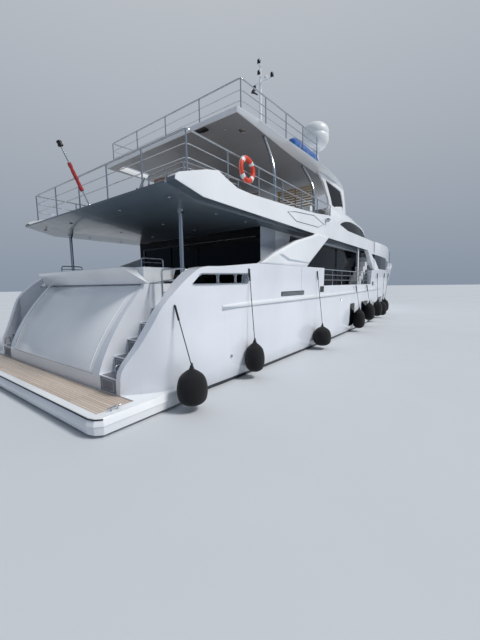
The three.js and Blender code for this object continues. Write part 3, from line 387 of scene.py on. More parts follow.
# %% Shape helpers
def through(points, steps):
    """A smooth line through the points, with a number of steps to each span."""
    points = [Vector(p) for p in points]
    first, last = 2 * points[0] - points[1], 2 * points[-1] - points[-2]
    padded = [first, *points, last]
    line = []
    for i in range(1, len(padded) - 2):
        a, b, c, d = padded[i - 1:i + 3]
        gaps = [max((q - p).length, 1e-6) ** 0.5 for p, q in ((a, b), (b, c), (c, d))]
        leave = ((b - a) / gaps[0] - (c - a) / (gaps[0] + gaps[1]) + (c - b) / gaps[1]) * gaps[1]
        arrive = ((c - b) / gaps[1] - (d - b) / (gaps[1] + gaps[2]) + (d - c) / gaps[2]) * gaps[1]
        for k in range(steps):
            t = k / steps
            line.append(b * (2 * t ** 3 - 3 * t ** 2 + 1) + leave * (t ** 3 - 2 * t ** 2 + t)
                        + c * (3 * t ** 2 - 2 * t ** 3) + arrive * (t ** 3 - t ** 2))
    return [*line, points[-1]]


def loft(rings, caps=True, ring=True, round_trip=False):
    """A skin over rings of points with like counts."""
    count = len(rings[0])
    points = [tuple(p) for r in rings for p in r]
    faces = []
    for r in range(len(rings) if round_trip else len(rings) - 1):
        low, high = r * count, ((r + 1) % len(rings)) * count
        for i in range(count if ring else count - 1):
            j = (i + 1) % count
            faces.append((low + i, low + j, high + j, high + i))
    if caps and not round_trip:
        faces.append(tuple(reversed(range(count))))
        faces.append(tuple(range((len(rings) - 1) * count, len(rings) * count)))
    return points, faces


PUSH = {"x": lambda a, b, c: (c, a, b), "y": lambda a, b, c: (a, c, b), "z": lambda a, b, c: (a, b, c)}


def prism(axis, outline, low, high):
    """An outline pushed along an axis: z takes (x, y), y takes (x, z), x takes (y, z)."""
    place = PUSH[axis]
    return loft([[place(a, b, at) for a, b in outline] for at in (low, high)])


def block(x0, x1, y0, y1, z0, z1):
    return prism("z", [(x0, y0), (x1, y0), (x1, y1), (x0, y1)], z0, z1)


def span(sign, near, far):
    """Two distances from the centreline, on the side of the sign, as a low and a high y."""
    return sorted((sign * near, sign * far))


def angles(count):
    """A full turn in equal steps."""
    return [2 * math.pi * k / count for k in range(count)]


def tube(path, radius, sides=12, closed=False):
    """A round bar along a path, whose section doesn't twist."""
    path = [Vector(p) for p in path]
    count = len(path)
    rings, across = [], None
    for i, point in enumerate(path):
        before = path[i - 1] if i or closed else point
        after = path[(i + 1) % count] if i < count - 1 or closed else point
        along = (after - before).normalized()
        if across is None:
            across = along.orthogonal() if abs(along.z) > 0.9 else along.cross(Vector((0, 0, 1)))
            across = across.normalized()
        across = (across - along * across.dot(along)).normalized()
        up = along.cross(across)
        size = radius[i] if hasattr(radius, "__len__") else radius
        rings.append([point + across * (size * math.cos(2 * math.pi * k / sides))
                      + up * (size * math.sin(2 * math.pi * k / sides)) for k in range(sides)])
    return loft(rings, round_trip=closed)


def bent(corners, radius=0.12, steps=5):
    """A path whose corners are rounded."""
    corners = [Vector(c) for c in corners]
    path = [corners[0]]
    for before, corner, after in zip(corners, corners[1:], corners[2:]):
        reach = min(radius, (before - corner).length / 2, (after - corner).length / 2)
        a, b = corner + (before - corner).normalized() * reach, corner + (after - corner).normalized() * reach
        path += [(1 - k / steps) ** 2 * a + 2 * k / steps * (1 - k / steps) * corner + (k / steps) ** 2 * b
                 for k in range(steps + 1)]
    return [*path, corners[-1]]


def turned(profile, centre, axis=(0, 0, 1), sides=32):
    """A profile of (radius, height) turned about an axis; a radius of 0 closes an end."""
    turn = Vector((0, 0, 1)).rotation_difference(Vector(axis).normalized())
    rings = [[Vector(centre) + turn @ Vector((max(r, 1e-4) * math.cos(2 * math.pi * k / sides),
                                              max(r, 1e-4) * math.sin(2 * math.pi * k / sides), h))
              for k in range(sides)] for r, h in profile]
    return loft(rings)


def merged(shapes):
    points, faces = [], []
    for more_points, more_faces in shapes:
        start = len(points)
        points += more_points
        faces += [tuple(start + i for i in face) for face in more_faces]
    return points, faces


def mirrored(shape):
    """The same shape on the other side of the centreline."""
    points, faces = shape
    return [(p[0], -p[1], p[2]) for p in points], [tuple(reversed(face)) for face in faces]


def rounded(outline, radius, steps=5):
    """An outline whose corners are rounded."""
    made = []
    count = len(outline)
    for i, corner in enumerate(outline):
        corner = Vector(corner)
        before, after = Vector(outline[i - 1]) - corner, Vector(outline[(i + 1) % count]) - corner
        reach = min(radius, before.length * 0.45, after.length * 0.45)
        a, b = corner + before.normalized() * reach, corner + after.normalized() * reach
        made += [tuple((1 - t) ** 2 * a + 2 * t * (1 - t) * corner + t * t * b)
                 for t in [k / steps for k in range(steps + 1)]]
    return made


print("a straight tube has", len(tube([(0, 0, 0), (0, 0, 1)], 0.05)[0]), "points")

# %% [markdown]
# ## Pieces
# A piece is one mesh that rides on a body of the CAD model. Moulded pieces get a small bevel: a real edge is
# never sharp, and it is the thin highlight along an edge that tells the eye how big a thing is. Openings are
# cut with booleans, before the bevel. Each finish is listed with a material slot of the CAD model, and a
# piece names its slot only where it isn't that one, but the slot is not put to use.

# %% Piece helpers
def bare_object(name, shape):
    mesh = bpy.data.meshes.new(name)
    mesh.from_pydata([tuple(p) for p in shape[0]], [], shape[1])
    work = bmesh.new()
    work.from_mesh(mesh)
    bmesh.ops.remove_doubles(work, verts=work.verts, dist=1e-5)
    bmesh.ops.recalc_face_normals(work, faces=work.faces)
    work.to_mesh(mesh)
    work.free()
    made = bpy.data.objects.new(name, mesh)
    bpy.context.scene.collection.objects.link(made)
    return made


def settle(made):
    """Turns the modifiers into plain mesh."""
    bpy.context.view_layer.update()
    fixed = bpy.data.meshes.new_from_object(made.evaluated_get(bpy.context.evaluated_depsgraph_get()))
    made.modifiers.clear()
    made.data = fixed
    return made


def carve(made, shapes, operation="DIFFERENCE", solver="MANIFOLD"):
    for shape in shapes:
        tool = bare_object("tool", shape)
        step = made.modifiers.new("cut", "BOOLEAN")
        step.operation, step.solver, step.object = operation, solver, tool
        settle(made)
        bpy.data.objects.remove(tool)
    return made


def shape_of(made):
    """An object's mesh as points and faces; the object goes."""
    shape = [tuple(v.co) for v in made.data.vertices], [tuple(p.vertices) for p in made.data.polygons]
    bpy.data.objects.remove(made)
    return shape


def common(shape, *others):
    """What the shape shares with each of the others."""
    return shape_of(carve(bare_object("common", shape), others, "INTERSECT"))


BEVEL_ABOVE = math.radians(35)
SLOT_OF = {"stainless_polished": "stainless", "teak_athwart": "teak", "teak_fore_aft": "teak",
           "varnished_wood": "teak", "wood_golden": "teak", "glass_tinted": "tinted_glass",
           "lamp_lens": "tinted_glass", "bronze_cast": "bronze", "zinc_grey": "bronze",
           "knit_black": "fender_cover", "rubber_black": "fender_cover", "rope_black": "fender_cover",
           "acrylic_sand": "cushion", "canvas_blue": "cover", "bunting_red": "ensign",
           "pvc_orange": "life_ring", "tape_white": "life_ring"}


def piece(name, shape, look, body="yacht", bevel=0.0, angle=35, cuts=(), slot=None, stands_for=()):
    made = carve(bare_object(name, shape), cuts)
    if bevel:
        step = made.modifiers.new("edge", "BEVEL")
        step.width, step.segments, step.limit_method = bevel, 2, "ANGLE"
        step.angle_limit = BEVEL_ABOVE
        settle(made)
    made.data.shade_smooth()
    made.data.set_sharp_from_angle(angle=math.radians(angle))
    made.data.materials.clear()
    made.data.materials.append(FINISH[look])
    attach(made, body)
    slot = slot or SLOT_OF.get(look, "gelcoat")
    if stands_for:
        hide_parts(*stands_for)
    print(f"{name}: {len(made.data.polygons)} faces of {look} on {body}")
    return made


def triangles():
    return {o.name: sum(len(p.vertices) - 2 for p in o.data.polygons)
            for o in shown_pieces() if o.type == "MESH"}


print("finishes with a slot of their own:", len(SLOT_OF))

# %% [markdown]
# ## The hull
# The hull is one moulding: a skin drawn over eleven ribs, from the transom to the raked stem. Each rib has a
# keel, a chine where the bottom turns into the side, the waterline, the rub rail and the sheer. A smooth line
# runs through each of these marks from stern to bow, and the ribs between them come from those lines.

# %% Hull lines
STATIONS = [  # x, keel z, chine y and z, half breadths at water, rub rail and sheer, rail z, sheer z, rake
    (-14.95, -0.75, 2.7, -0.26, 2.95, 3.02, 3.06, 1.74, 2.7, 0),
    (-14.3, -0.85, 3.08, -0.28, 3.42, 3.51, 3.55, 1.745, 2.7, 0),
    (-13.0, -1.0, 3.2, -0.3, 3.52, 3.62, 3.64, 1.75, 2.7, 0),
    (-9.5, -1.25, 3.26, -0.32, 3.56, 3.65, 3.67, 1.765, 2.715, 0),
    (-5.0, -1.4, 3.25, -0.31, 3.57, 3.66, 3.69, 1.79, 2.75, 0),
    (-0.5, -1.45, 3.06, -0.25, 3.44, 3.61, 3.66, 1.85, 2.85, 0),
    (3.5, -1.45, 2.6, -0.15, 3.06, 3.38, 3.5, 1.92, 2.96, 0.02),
    (6.5, -1.42, 2.0, 0.0, 2.52, 2.94, 3.11, 2.0, 3.08, 0.06),
    (9.5, -1.3, 1.25, 0.12, 1.78, 2.3, 2.6, 2.15, 3.56, 0.16),
    (12.0, -1.05, 0.56, 0.14, 0.9, 1.42, 1.83, 2.35, 3.93, 0.28),
    (14.0, -0.35, 0.06, 0.02, 0.06, 0.06, 0.06, 2.6, 4.2, 0.44),
]
WATER_Z = 0.16
SPAN_STEPS = 10
marks = [[], [], [], [], []]
for x, keel_z, chine_y, chine_z, water_y, rail_y, sheer_y, rail_z, sheer_z, rake in STATIONS:
    levels = [(0.0, keel_z), (chine_y, chine_z), (water_y, WATER_Z), (rail_y, rail_z), (sheer_y, sheer_z)]
    for line, (y, z) in zip(marks, levels):
        line.append((x + rake * z, y, z))
lines = [through(line, SPAN_STEPS) for line in marks]
ribs = []
for keel, chine, *upper in zip(*lines):
    bottom = [keel.lerp(chine, t / 3) for t in range(1, 3)]
    side = through([chine, *upper], 4)
    half = [*bottom, *side]
    ribs.append([keel, *half, *[Vector((p.x, -p.y, p.z)) for p in reversed(half)]])
hull_shape = loft(ribs)
print("hull ribs:", len(ribs), "points to a rib:", len(ribs[0]))

# %% [markdown]
# The cuts come next, as a boatbuilder would mould recesses: the well of the main deck, the fore deck, the
# seat of the forward house, the stern with its garage, stairs and slopes, and the gaps for the balconies and
# mooring ports. They use the same outlines as the solids, so that everything else still fits.

# %% Hull cuts
def both(half):
    """A half outline of (x, y) from aft to fore, closed by its mirror image."""
    return [(x, -y) for x, y in half] + [(x, y) for x, y in reversed(half) if y > 0]


def eased(half, steps=6):
    """A half outline with a smooth line through its points."""
    return [(p.x, p.y) for p in through([(x, y, 0) for x, y in half], steps)]


def slanted(side_outline, half_low, half_high):
    """A block with four (x, z) corners, from low aft round to high aft, narrower below than above."""
    a, b, c, d = side_outline
    low = [(a[0], -half_low, a[1]), (b[0], -half_low, b[1]), (b[0], half_low, b[1]), (a[0], half_low, a[1])]
    high = [(d[0], -half_high, d[1]), (c[0], -half_high, c[1]), (c[0], half_high, c[1]),
            (d[0], half_high, d[1])]
    return loft([low, high])


TOP = 6.0
MAIN_DECK = 1.74
TEAK_TOP = 1.7525
STAIR_IN = 2.32
DOOR_LOW, DOOR_HIGH = (-14.96, 0.56), (-13.84, 2.25)
DOOR_BOW = [(-14.86, 0.83), (-14.62, 1.28), (-14.34, 1.68), (-14.03, 2.05)]
WING_SLOPE = [(-14.95, 0.46), (-14.93, 0.72), (-14.7, 1.14), (-14.52, 1.51), (-14.35, 1.85), (-14.1, 2.13),
              (-13.8, 2.38), (-13.5, 2.54), (-12.91, 2.585), (-11.39, 2.72)]
DECK_WELL = both([(-13.34, 3.38), (-12.0, 3.47), (-0.6, 3.47), (0.3, 3.43)])
FORE_WELL = both(eased([(9.9, 2.1), (12.0, 1.6), (13.5, 0.93), (14.2, 0.42)]))
HOUSE_HALF = [(2.0, 3.48), (4.0, 3.35), (6.5, 2.99), (8.3, 2.42), (9.3, 1.7), (9.7, 0.8)]
HOUSE_OUTLINE = both([(0.3, 3.52), *eased(HOUSE_HALF)])
STAIR_EDGE = [(-15.2, 2.75), (-14.95, 2.88), (-14.3, 3.34), (-13.56, 3.2838), (-13.335, 3.3)]
MOORING_PORT = [(-13.76, 2.215), (-12.01, 2.225), (-11.96, 2.45), (-13.52, 2.42)]
TREADS, TREAD_RUN, TREAD_FIRST = 4, 0.31, 0.28
TREAD_RISE = (MAIN_DECK - TREAD_FIRST) / (TREADS + 1)


def along(line, x):
    """The height or breadth of a line of (x, value) at x."""
    after = next((i for i, (mark, _) in enumerate(line) if mark >= x), len(line) - 1)
    (x0, v0), (x1, v1) = line[max(after, 1) - 1], line[max(after, 1)]
    return v0 + (v1 - v0) * (x - x0) / (x1 - x0)


def smooth(line, steps=5):
    return [(p.x, p.z) for p in through([(x, 0, z) for x, z in line], steps)]


door_curve = smooth([DOOR_LOW, *DOOR_BOW, DOOR_HIGH])
stern_middle = [(-16.5, 0.3), (-14.96, 0.3), *door_curve, (-13.34, 2.25), (-13.34, TOP), (-16.5, TOP)]
door_hole = [(-15.16, 0.55), (-14.83, 0.55), (-13.713, 2.255), (-14.125, 2.255)]
hull_cuts = [prism("y", stern_middle, -STAIR_IN, STAIR_IN), slanted(door_hole, 2.068, 2.21),
             block(-14.9, -11.9, -1.95, 1.95, 0.62, 1.6), prism("z", DECK_WELL, MAIN_DECK, TOP),
             prism("z", FORE_WELL, 3.05, TOP), prism("z", HOUSE_OUTLINE, 2.89, TOP)]
for _, sign in SIDES:
    wing = [(-16.5, 0.46), *smooth(WING_SLOPE, 3), (-11.39, TOP), (-16.5, TOP)]
    hull_cuts.append(prism("y", wing, *span(sign, STAIR_IN, 4.2)))
    for i in range(TREADS + 1):
        aft = -15.2 if i == 0 else -14.95 + TREAD_RUN * i
        fore = -13.335 if i == TREADS else -14.945 + TREAD_RUN * (i + 1)
        edge = [(aft, along(STAIR_EDGE, aft)), *[p for p in STAIR_EDGE if aft < p[0] < fore],
                (fore, along(STAIR_EDGE, fore))]
        well = [(aft, STAIR_IN), *edge, (fore, STAIR_IN)]
        hull_cuts.append(prism("z", [(x, sign * y) for x, y in well],
                               TREAD_FIRST + TREAD_RISE * (i + 1), TOP))
    balcony = [(-7.4, 2.12), (-0.84, 2.12), (-0.84, TOP), (-7.4, TOP)]
    hull_cuts.append(prism("y", balcony, *span(sign, 3.4, 4.2)))
    hull_cuts.append(prism("y", rounded(MOORING_PORT, 0.06), *span(sign, 3.25, 4.2)))

hull = piece("hull_moulding", hull_shape, "gelcoat_topsides", cuts=hull_cuts, angle=28,
             stands_for=["hull", "bulwark_starboard", "bulwark_port"])

# %% [markdown]
# The rub rail is a half-round moulding along the widest part of the side, where knocks land first. Here it
# starts near the stern and dies out under the forward house. A thin grey tube along its lower edge is painted
# shadow under the rail.

# %% Rub rails
RUB_MARKS = [(-12.9, 3.626, 1.75), (-9.5, 3.65, 1.765), (-5.0, 3.66, 1.79), (-0.5, 3.612, 1.85),
             (1.78, 3.512, 1.882)]
rub_line = through(RUB_MARKS, 6)
rub_section = [(-0.05, -0.06), (0.022, -0.058), (0.037, -0.04), (0.04, 0.0), (0.037, 0.035), (0.022, 0.055),
               (-0.05, 0.06)]
rub_rings = []
for i, p in enumerate(rub_line):
    size = min(1.0, 0.35 + i / 2, 0.35 + (len(rub_line) - 1 - i) / 2)
    rub_rings.append([(p.x, p.y + out * size, p.z + up * size) for out, up in rub_section])
rub = loft(rub_rings)
piece("rub_rails", merged([rub, mirrored(rub)]), "gelcoat_white", angle=50)
# Painted shadow: a grey tube under the rail.
rail_shadow_line = tube([(p.x, p.y + 0.016, p.z - 0.053) for p in rub_line], 0.013, 8)
piece("rub_rail_painted_shadow", merged([rail_shadow_line, mirrored(rail_shadow_line)]), "gelcoat_shaded")

# %% [markdown]
# ## Stern
# The swim platform is a wide low shelf that overhangs the water. Its rim slopes in above and below, so a boat
# or a swimmer meets no hard edge. The teak lies in a shallow tray, and a dark grey strip along the aft edge
# is the rubber that a boat bumps against.

# %% Swim platform
RIM = both([(-15.78, 3.4), (-15.74, 3.54), (-15.63, 3.64), (-14.3, 3.64), (-13.6, 3.56)])


def inset(outline, distance):
    """Every edge of an outline moved inwards."""
    area = sum(a[0] * b[1] - b[0] * a[1] for a, b in zip(outline, outline[1:] + outline[:1]))
    turn = distance if area > 0 else -distance
    made = []
    for i, point in enumerate(outline):
        before, after = outline[i - 1], outline[(i + 1) % len(outline)]
        first = Vector((point[0] - before[0], point[1] - before[1])).normalized()
        second = Vector((after[0] - point[0], after[1] - point[1])).normalized()
        scale = turn / max(1 + first.dot(second), 0.2)
        made.append((point[0] - (first.y + second.y) * scale, point[1] + (first.x + second.x) * scale))
    return made


def stack(levels):
    """Outlines of (x, y) at heights, joined into one body."""
    return loft([[(x, y, z) for x, y in outline] for outline, z in levels])


platform_cuts = [block(-15.6, -14.95, -3.38, 3.38, 0.268, 0.35),
                 block(-14.9495, -13.0, -STAIR_IN, STAIR_IN, -0.2, 0.6)]
hull_block = shape_of(bare_object("hull_block", hull_shape))
shelf = stack([(inset(RIM, 0.025), 0.05), (inset(RIM, 0.01), 0.175), (RIM, 0.19), (inset(RIM, 0.05), 0.3)])
piece("platform_moulding", shelf, "gelcoat_white", cuts=[hull_block, *platform_cuts],
      stands_for=["swim_platform"], bevel=0.006, angle=14)

strip_edge = sorted([(x, y, 0.281) for x, y in inset(RIM, 0.038) if x < -15.5], key=lambda p: p[1])
strip = tube(strip_edge, 0.011, 8)
piece("platform_bumper_strip", strip, "rubber_black")

# %% [markdown]
# The garage door closes the transom between the stairs. It is one white bowed panel that hinges at its top
# edge. A thin raised border runs along its sides. It rides on the garage door's own body, so it opens with
# the joint.

# %% Garage door
door_side = [*smooth([DOOR_LOW, *DOOR_BOW, (-13.84, 2.22)]), (-13.79, 2.16), (-14.855, 0.56)]
door_front = [(-2.06, 0.56), (2.06, 0.56), (2.2, 2.25), (-2.2, 2.25)]
door_leaf = common(prism("y", door_side, -3, 3), prism("x", door_front, -16, -13))
piece("garage_door_panel", door_leaf, "gelcoat_white", "garage_door", 0.01, stands_for=["garage_door"])
border = []
for sign in (1, -1):
    run = [(x, sign * (1.95 + 0.07 * (z - 0.56)), z) for x, z in door_curve if 0.6 < z < 2.16]
    border.append(tube(run, 0.01, 8))
piece("garage_door_border", merged(border), "gelcoat_white", "garage_door")

# %% [markdown]
# Over the door sits the aft coaming: the back of the cockpit sofa as seen from outside. Its lip leans aft
# over the door, and its ends are cut on a slant down to the stair walls. A low bent handrail stands on each
# end of it, and a short wall on each side closes the cockpit off from the stair.

# %% Aft coaming and its hoop handrails
LIP_X, WALL_Y = -13.86, 2.321
DOOR_SEAM, COAMING_TOP, COAMING_HALF = 2.2503, 2.6, 2.43
HOOP_AFT, HOOP_FORE, HOOP_FOOT, HOOP_TOP = -13.62, -13.02, 2.59, 2.82
coaming_side = [(LIP_X, DOOR_SEAM), (-14.2, 2.578), (-14.2, COAMING_TOP), (LIP_X, COAMING_TOP)]
coaming_front = [(-COAMING_HALF, DOOR_SEAM), (COAMING_HALF, DOOR_SEAM), (COAMING_HALF, 2.28),
                 (2.05, COAMING_TOP), (-2.05, COAMING_TOP), (-COAMING_HALF, 2.28)]
coaming_lip = common(prism("y", coaming_side, -3, 3), prism("x", coaming_front, -15, -12))
coaming_back = prism("y", [(LIP_X - 0.002, DOOR_SEAM), (LIP_X - 0.002, COAMING_TOP), (-12.98, COAMING_TOP),
                           (-13.1, DOOR_SEAM)], -WALL_Y, WALL_Y)
piece("aft_coaming_moulding", merged([coaming_lip, coaming_back]), "gelcoat_white", bevel=0.008,
      stands_for=["aft_coaming"])

hoops = []
for _, sign in SIDES:
    y = sign * 1.93
    hoop = [(HOOP_AFT, y, HOOP_FOOT), (HOOP_AFT, y, HOOP_TOP), (HOOP_FORE, y, HOOP_TOP),
            (HOOP_FORE, y, HOOP_FOOT)]
    hoops.append(tube(bent(hoop, 0.07), 0.016, 12))
    hoops.append(tube([(HOOP_AFT, y, 2.73), (HOOP_FORE, y, 2.73)], 0.01, 8))
side_walls = [block(-13.36, -12.985, *span(sign, 2.2, WALL_Y), 1.753, 2.3) for _, sign in SIDES]
piece("cockpit_side_walls", merged(side_walls), "gelcoat_white")
piece("coaming_hoops", merged(hoops), "stainless_polished")

# %% [markdown]
# ## Main deck house
# The deck house keeps its solids: flat walls with long windows. They only need their materials. The same
# holds for the laid teak, the sliding doors and the flat glass of the saloon and the forward house. The deck
# house walls are painted grey: painted shade, as they lie in shadow under the upper deck.

# %% Materials of the solids that stay
# The deck house walls take the grey gelcoat_shaded: painted shade.
KEPT = {"platform_teak": "teak_athwart", "main_deck_teak": "teak_fore_aft", "deckhouse": "gelcoat_shaded",
        "saloon_glazing": "glass_tinted", "forward_glass_starboard": "glass_tinted",
        "forward_glass_port": "glass_tinted", "saloon_door_starboard": "glass_tinted",
        "saloon_door_port": "glass_tinted"}
for name, look in KEPT.items():
    NODES[name].data.materials.clear()
    NODES[name].data.materials.append(FINISH[look])
    print("solid that stays:", name, "in", look)

# %% [markdown]
# ## Forward house
# The owner's cabin on the main deck is as wide as the yacht. Its side is the hull's own line carried up to
# the upper deck, with a long dark window that narrows to a point towards the bow. It is a thick wall here,
# cut from a full block: the window has a real edge, and the glass sits a little way in. Side stairs with teak
# pads lead up beside it, and a slender stanchion stands at their foot.

# %% Forward house
FORWARD_SEAT = 2.8903
HOUSE_PROFILE = [(0.3003, 3.0), (0.35, FORWARD_SEAT), (9.8, FORWARD_SEAT), (9.7, 3.7), (9.3, 3.87),
                 (8.6, 4.06), (7.6, 4.26), (6.5, 4.44), (4.0, 4.5), (1.8, 4.44), (0.3003, 4.41)]
FORWARD_WINDOW = [(1.48, 2.965), (6.4, 3.0), (7.5, 3.08), (7.9, 3.3), (6.9, 3.65), (4.0, 3.72), (-0.25, 3.73)]
UPPER_DECK, SOFFIT = 4.09, 3.86
FLY_FLOOR = 4.0905  # furniture stands half a millimetre clear of the deck

house_body = common(prism("z", inset(HOUSE_OUTLINE, 0.0003), FORWARD_SEAT, TOP),
                    prism("y", HOUSE_PROFILE, -4, 4))
top_well = common(prism("z", inset(HOUSE_OUTLINE, 0.18), UPPER_DECK, TOP),
                  block(0.3, 8.0, -4, 4, UPPER_DECK, TOP + 0.1))
house_cuts = [top_well, block(0.2, 0.6, -3.33, 3.33, UPPER_DECK, TOP),
              prism("z", inset(HOUSE_OUTLINE, 0.11), 2.0, 3.98)]
for _, sign in SIDES:
    house_cuts.append(prism("y", FORWARD_WINDOW, *span(sign, 0.6, 4.2)))
piece("forward_house_moulding", house_body, "gelcoat_white", cuts=house_cuts,
      stands_for=["forward_house"], bevel=0.02, angle=30)

pillar_shapes, stair_shapes = [], []
for _, sign in SIDES:
    plate = [(0.4, FORWARD_SEAT), (0.4, SOFFIT - 0.0003), (-0.95, SOFFIT - 0.0003), (0.33, FORWARD_SEAT)]
    pillar = carve(bare_object("pillar", prism("y", plate, *span(sign, 3.3, 3.48))),
                   [prism("y", FORWARD_WINDOW, *span(sign, 0.6, 4.2))])
    pillar_shapes.append(shape_of(pillar))
    rise = (SOFFIT - 0.04 - MAIN_DECK - 0.012) / 8
    for i in range(8):
        x = -2.35 + 0.33 * i
        top = MAIN_DECK + 0.012 + rise * (i + 1)
        under = max(MAIN_DECK + 0.0123, top - rise - 0.16)
        end = 0.52 if i == 7 else x + 0.37
        stair_shapes.append(block(x, end, *span(sign, 2.88, 3.29), under, top))
piece("forward_pillars", merged(pillar_shapes), "gelcoat_white")
piece("side_stairs", merged(stair_shapes), "gelcoat_white")
step_pads = [block(x, x + 0.29, *span(sign, 2.93, 3.25), top - 0.003, top + 0.005)
             for x, top in [(-2.31 + 0.33 * i, MAIN_DECK + 0.012 + rise * (i + 1)) for i in range(7)]
             for _, sign in SIDES]
piece("side_stair_teak", merged(step_pads), "teak_athwart")
stanchions = [block(-2.24, -2.12, *span(sign, 3.3, 3.36), TEAK_TOP, SOFFIT - 0.0004) for _, sign in SIDES]
piece("side_stair_stanchions", merged(stanchions), "gelcoat_white", bevel=0.006)

# %% [markdown]
# ## Upper deck
# The upper deck is a thin plate with a deep white fascia on each side. At the stern each fascia ends in a
# raised wing with a chamfered edge. The underside is white gelcoat painted a dark, cool grey as painted
# shade; it is satin, with small round lamps set in it.

# %% Upper deck
DECK_EDGE = [(-14.0, 4.05), (-13.2, SOFFIT), (0.3, SOFFIT), (0.3, UPPER_DECK), (-14.0, UPPER_DECK)]
FASCIA_TOP = [(-13.91, 4.18), (-13.82, 4.24), (-13.09, 4.48), (-12.72, 4.56), (-12.46, 4.47), (-12.07, 4.36),
              (-11.5, 4.35), (-10.29, 4.41), (-9.15, 4.47), (-7.73, 4.555), (-6.42, 4.7), (-5.4, 4.56),
              (-4.2, 4.42), (0.3, 4.41)]
FASCIA_LOW = [(-13.93, 4.09), (-13.2, 3.93), (-12.0, 3.915), (-8.14, 3.88), (0.3, 3.862)]
FASCIA = [*FASCIA_LOW, *reversed(FASCIA_TOP)]
fascia_shapes, skin_shapes = [], []
for _, sign in SIDES:
    skin_side = [(-13.915, 4.16), *FASCIA_LOW, *[(x, z - 0.003) for x, z in reversed(FASCIA_LOW)],
                 (-13.918, 4.16)]
    skin_shapes.append(prism("y", skin_side, *span(sign, 3.24, 3.452)))
    inner = [(x, sign * 3.24, z) for x, z in FASCIA]
    edge = [(x, sign * 3.453, z) for x, z in FASCIA]
    outer = [(x, sign * 3.46, z) for x, z in inset(FASCIA, 0.007)]
    fascia_shapes.append(loft([inner, edge, outer]))
# The plate's underside is painted dark grey: painted shade.
piece("upper_deck_plate", prism("y", DECK_EDGE, -3.25, 3.25), "soffit_painted_shade",
      stands_for=["upper_deck"], bevel=0.01)
piece("upper_deck_fascias", merged(fascia_shapes), "gelcoat_white", angle=9)
RECESS = [(-9.71, 4.26), (-9.14, 4.08), (-7.44, 4.13), (-6.96, 4.3), (-7.86, 4.46), (-9.25, 4.34)]
# A dark line round the hexagonal recess on each fascia: painted shade in its groove.
recess_shade_lines = [tube([(x, sign * 3.46, z) for x, z in RECESS], 0.011, 6, closed=True) for _, sign in SIDES]
# The skin under each fascia takes the dark soffit finish: painted shade.
piece("fascia_underside", merged(skin_shapes), "soffit_painted_shade")
piece("fascia_recess_shade_line", merged(recess_shade_lines), "soffit_painted_shade")
deck_inlay = [(-13.85, -3.2), (0.25, -3.2), (0.25, 3.2), (-13.85, 3.2)]
piece("upper_deck_teak", prism("z", deck_inlay, UPPER_DECK - 0.02, UPPER_DECK + 0.004), "teak_fore_aft")

# %% [markdown]
# The buttress is a wing that ties the upper deck to the bulwark and frames the balcony. It is a thick plate
# with chamfered edges. A crease runs along its outer face; it lies in shade, so a thin darker strip stands
# for it. Behind the wing, the deck house window ends further forward than its opening, so a white panel
# closes the rest. A polished post stands on each side of the cockpit.

# %% Buttresses and cockpit posts
BUTTRESS = [(-11.37, 2.72), (-8.65, 2.73), (-8.47, 2.85), (-6.75, 3.858), (-7.85, 3.858), (-8.0, 3.8),
            (-9.42, 3.46), (-10.69, 3.02)]
for name, sign in SIDES:
    rings = [[(x, sign * y, z) for x, z in inset(BUTTRESS, margin)] for y, margin in
             ((3.47, 0.02), (3.49, 0.0), (3.6, 0.0), (3.63, 0.06))]
    piece(f"buttress_wing_{name}", loft(rings), "gelcoat_white", stands_for=[f"buttress_{name}"], bevel=0.005,
          angle=12)
    post = turned([(0, 1.7524), (0.085, 1.7524), (0.085, 1.765), (0.045, 1.78), (0.045, 3.78), (0.075, 3.81),
                   (0.075, 3.8596), (0, 3.8596)], (-13.0, sign * 2.56, 0), sides=24)
    piece(f"cockpit_post_tube_{name}", post, "stainless_polished", stands_for=[f"cockpit_post_{name}"])

CREASE = [(-10.5, 2.99), (-10.3, 3.015), (-9.86, 2.905), (-8.58, 2.865), (-8.58, 2.83), (-9.98, 2.845)]
creases = [prism("y", CREASE, *span(sign, 3.62, 3.632)) for _, sign in SIDES]
piece("buttress_creases", merged(creases), "gelcoat_shaded")
closing = [(-9.36, 1.96), (-8.9, 1.96), (-8.36, 3.84), (-9.36, 3.84)]
panels = [prism("y", closing, *span(sign, 2.8, 2.853)) for _, sign in SIDES]
piece("deck_house_panels", merged(panels), "gelcoat_white")

# %% [markdown]
# ## Pilothouse
# The raised pilothouse is a smooth shell drawn over three outlines: its foot on the upper deck, its eaves and
# its crown. A shell a little smaller makes the inside, and the window openings are cut through both. The
# glass is the space between two more shells, so it follows the same curve.

# %% Pilothouse
PILOT_LEVELS = [([(-5.6, 3.15), (-3.0, 3.17), (-0.4, 3.15), (1.0, 3.0), (2.6, 2.3), (3.7, 1.0)], 4.0903),
                ([(-5.35, 3.08), (-3.0, 3.1), (-1.4, 3.08), (-0.1, 2.95), (1.0, 2.1), (1.5, 0.9)], 5.08),
                ([(-5.15, 2.95), (-3.0, 2.95), (-1.7, 2.85), (-0.7, 2.5), (0.0, 1.7), (0.3, 0.7)], 5.37)]
ARCH = [(-4.6, 4.54), (0.25, 4.6), (-0.66, 4.94), (-1.8, 5.05), (-2.8, 5.04), (-3.92, 4.85)]
WINDSCREEN = [(-2.25, 4.42), (2.25, 4.42), (1.95, 5.0), (-1.95, 5.0)]


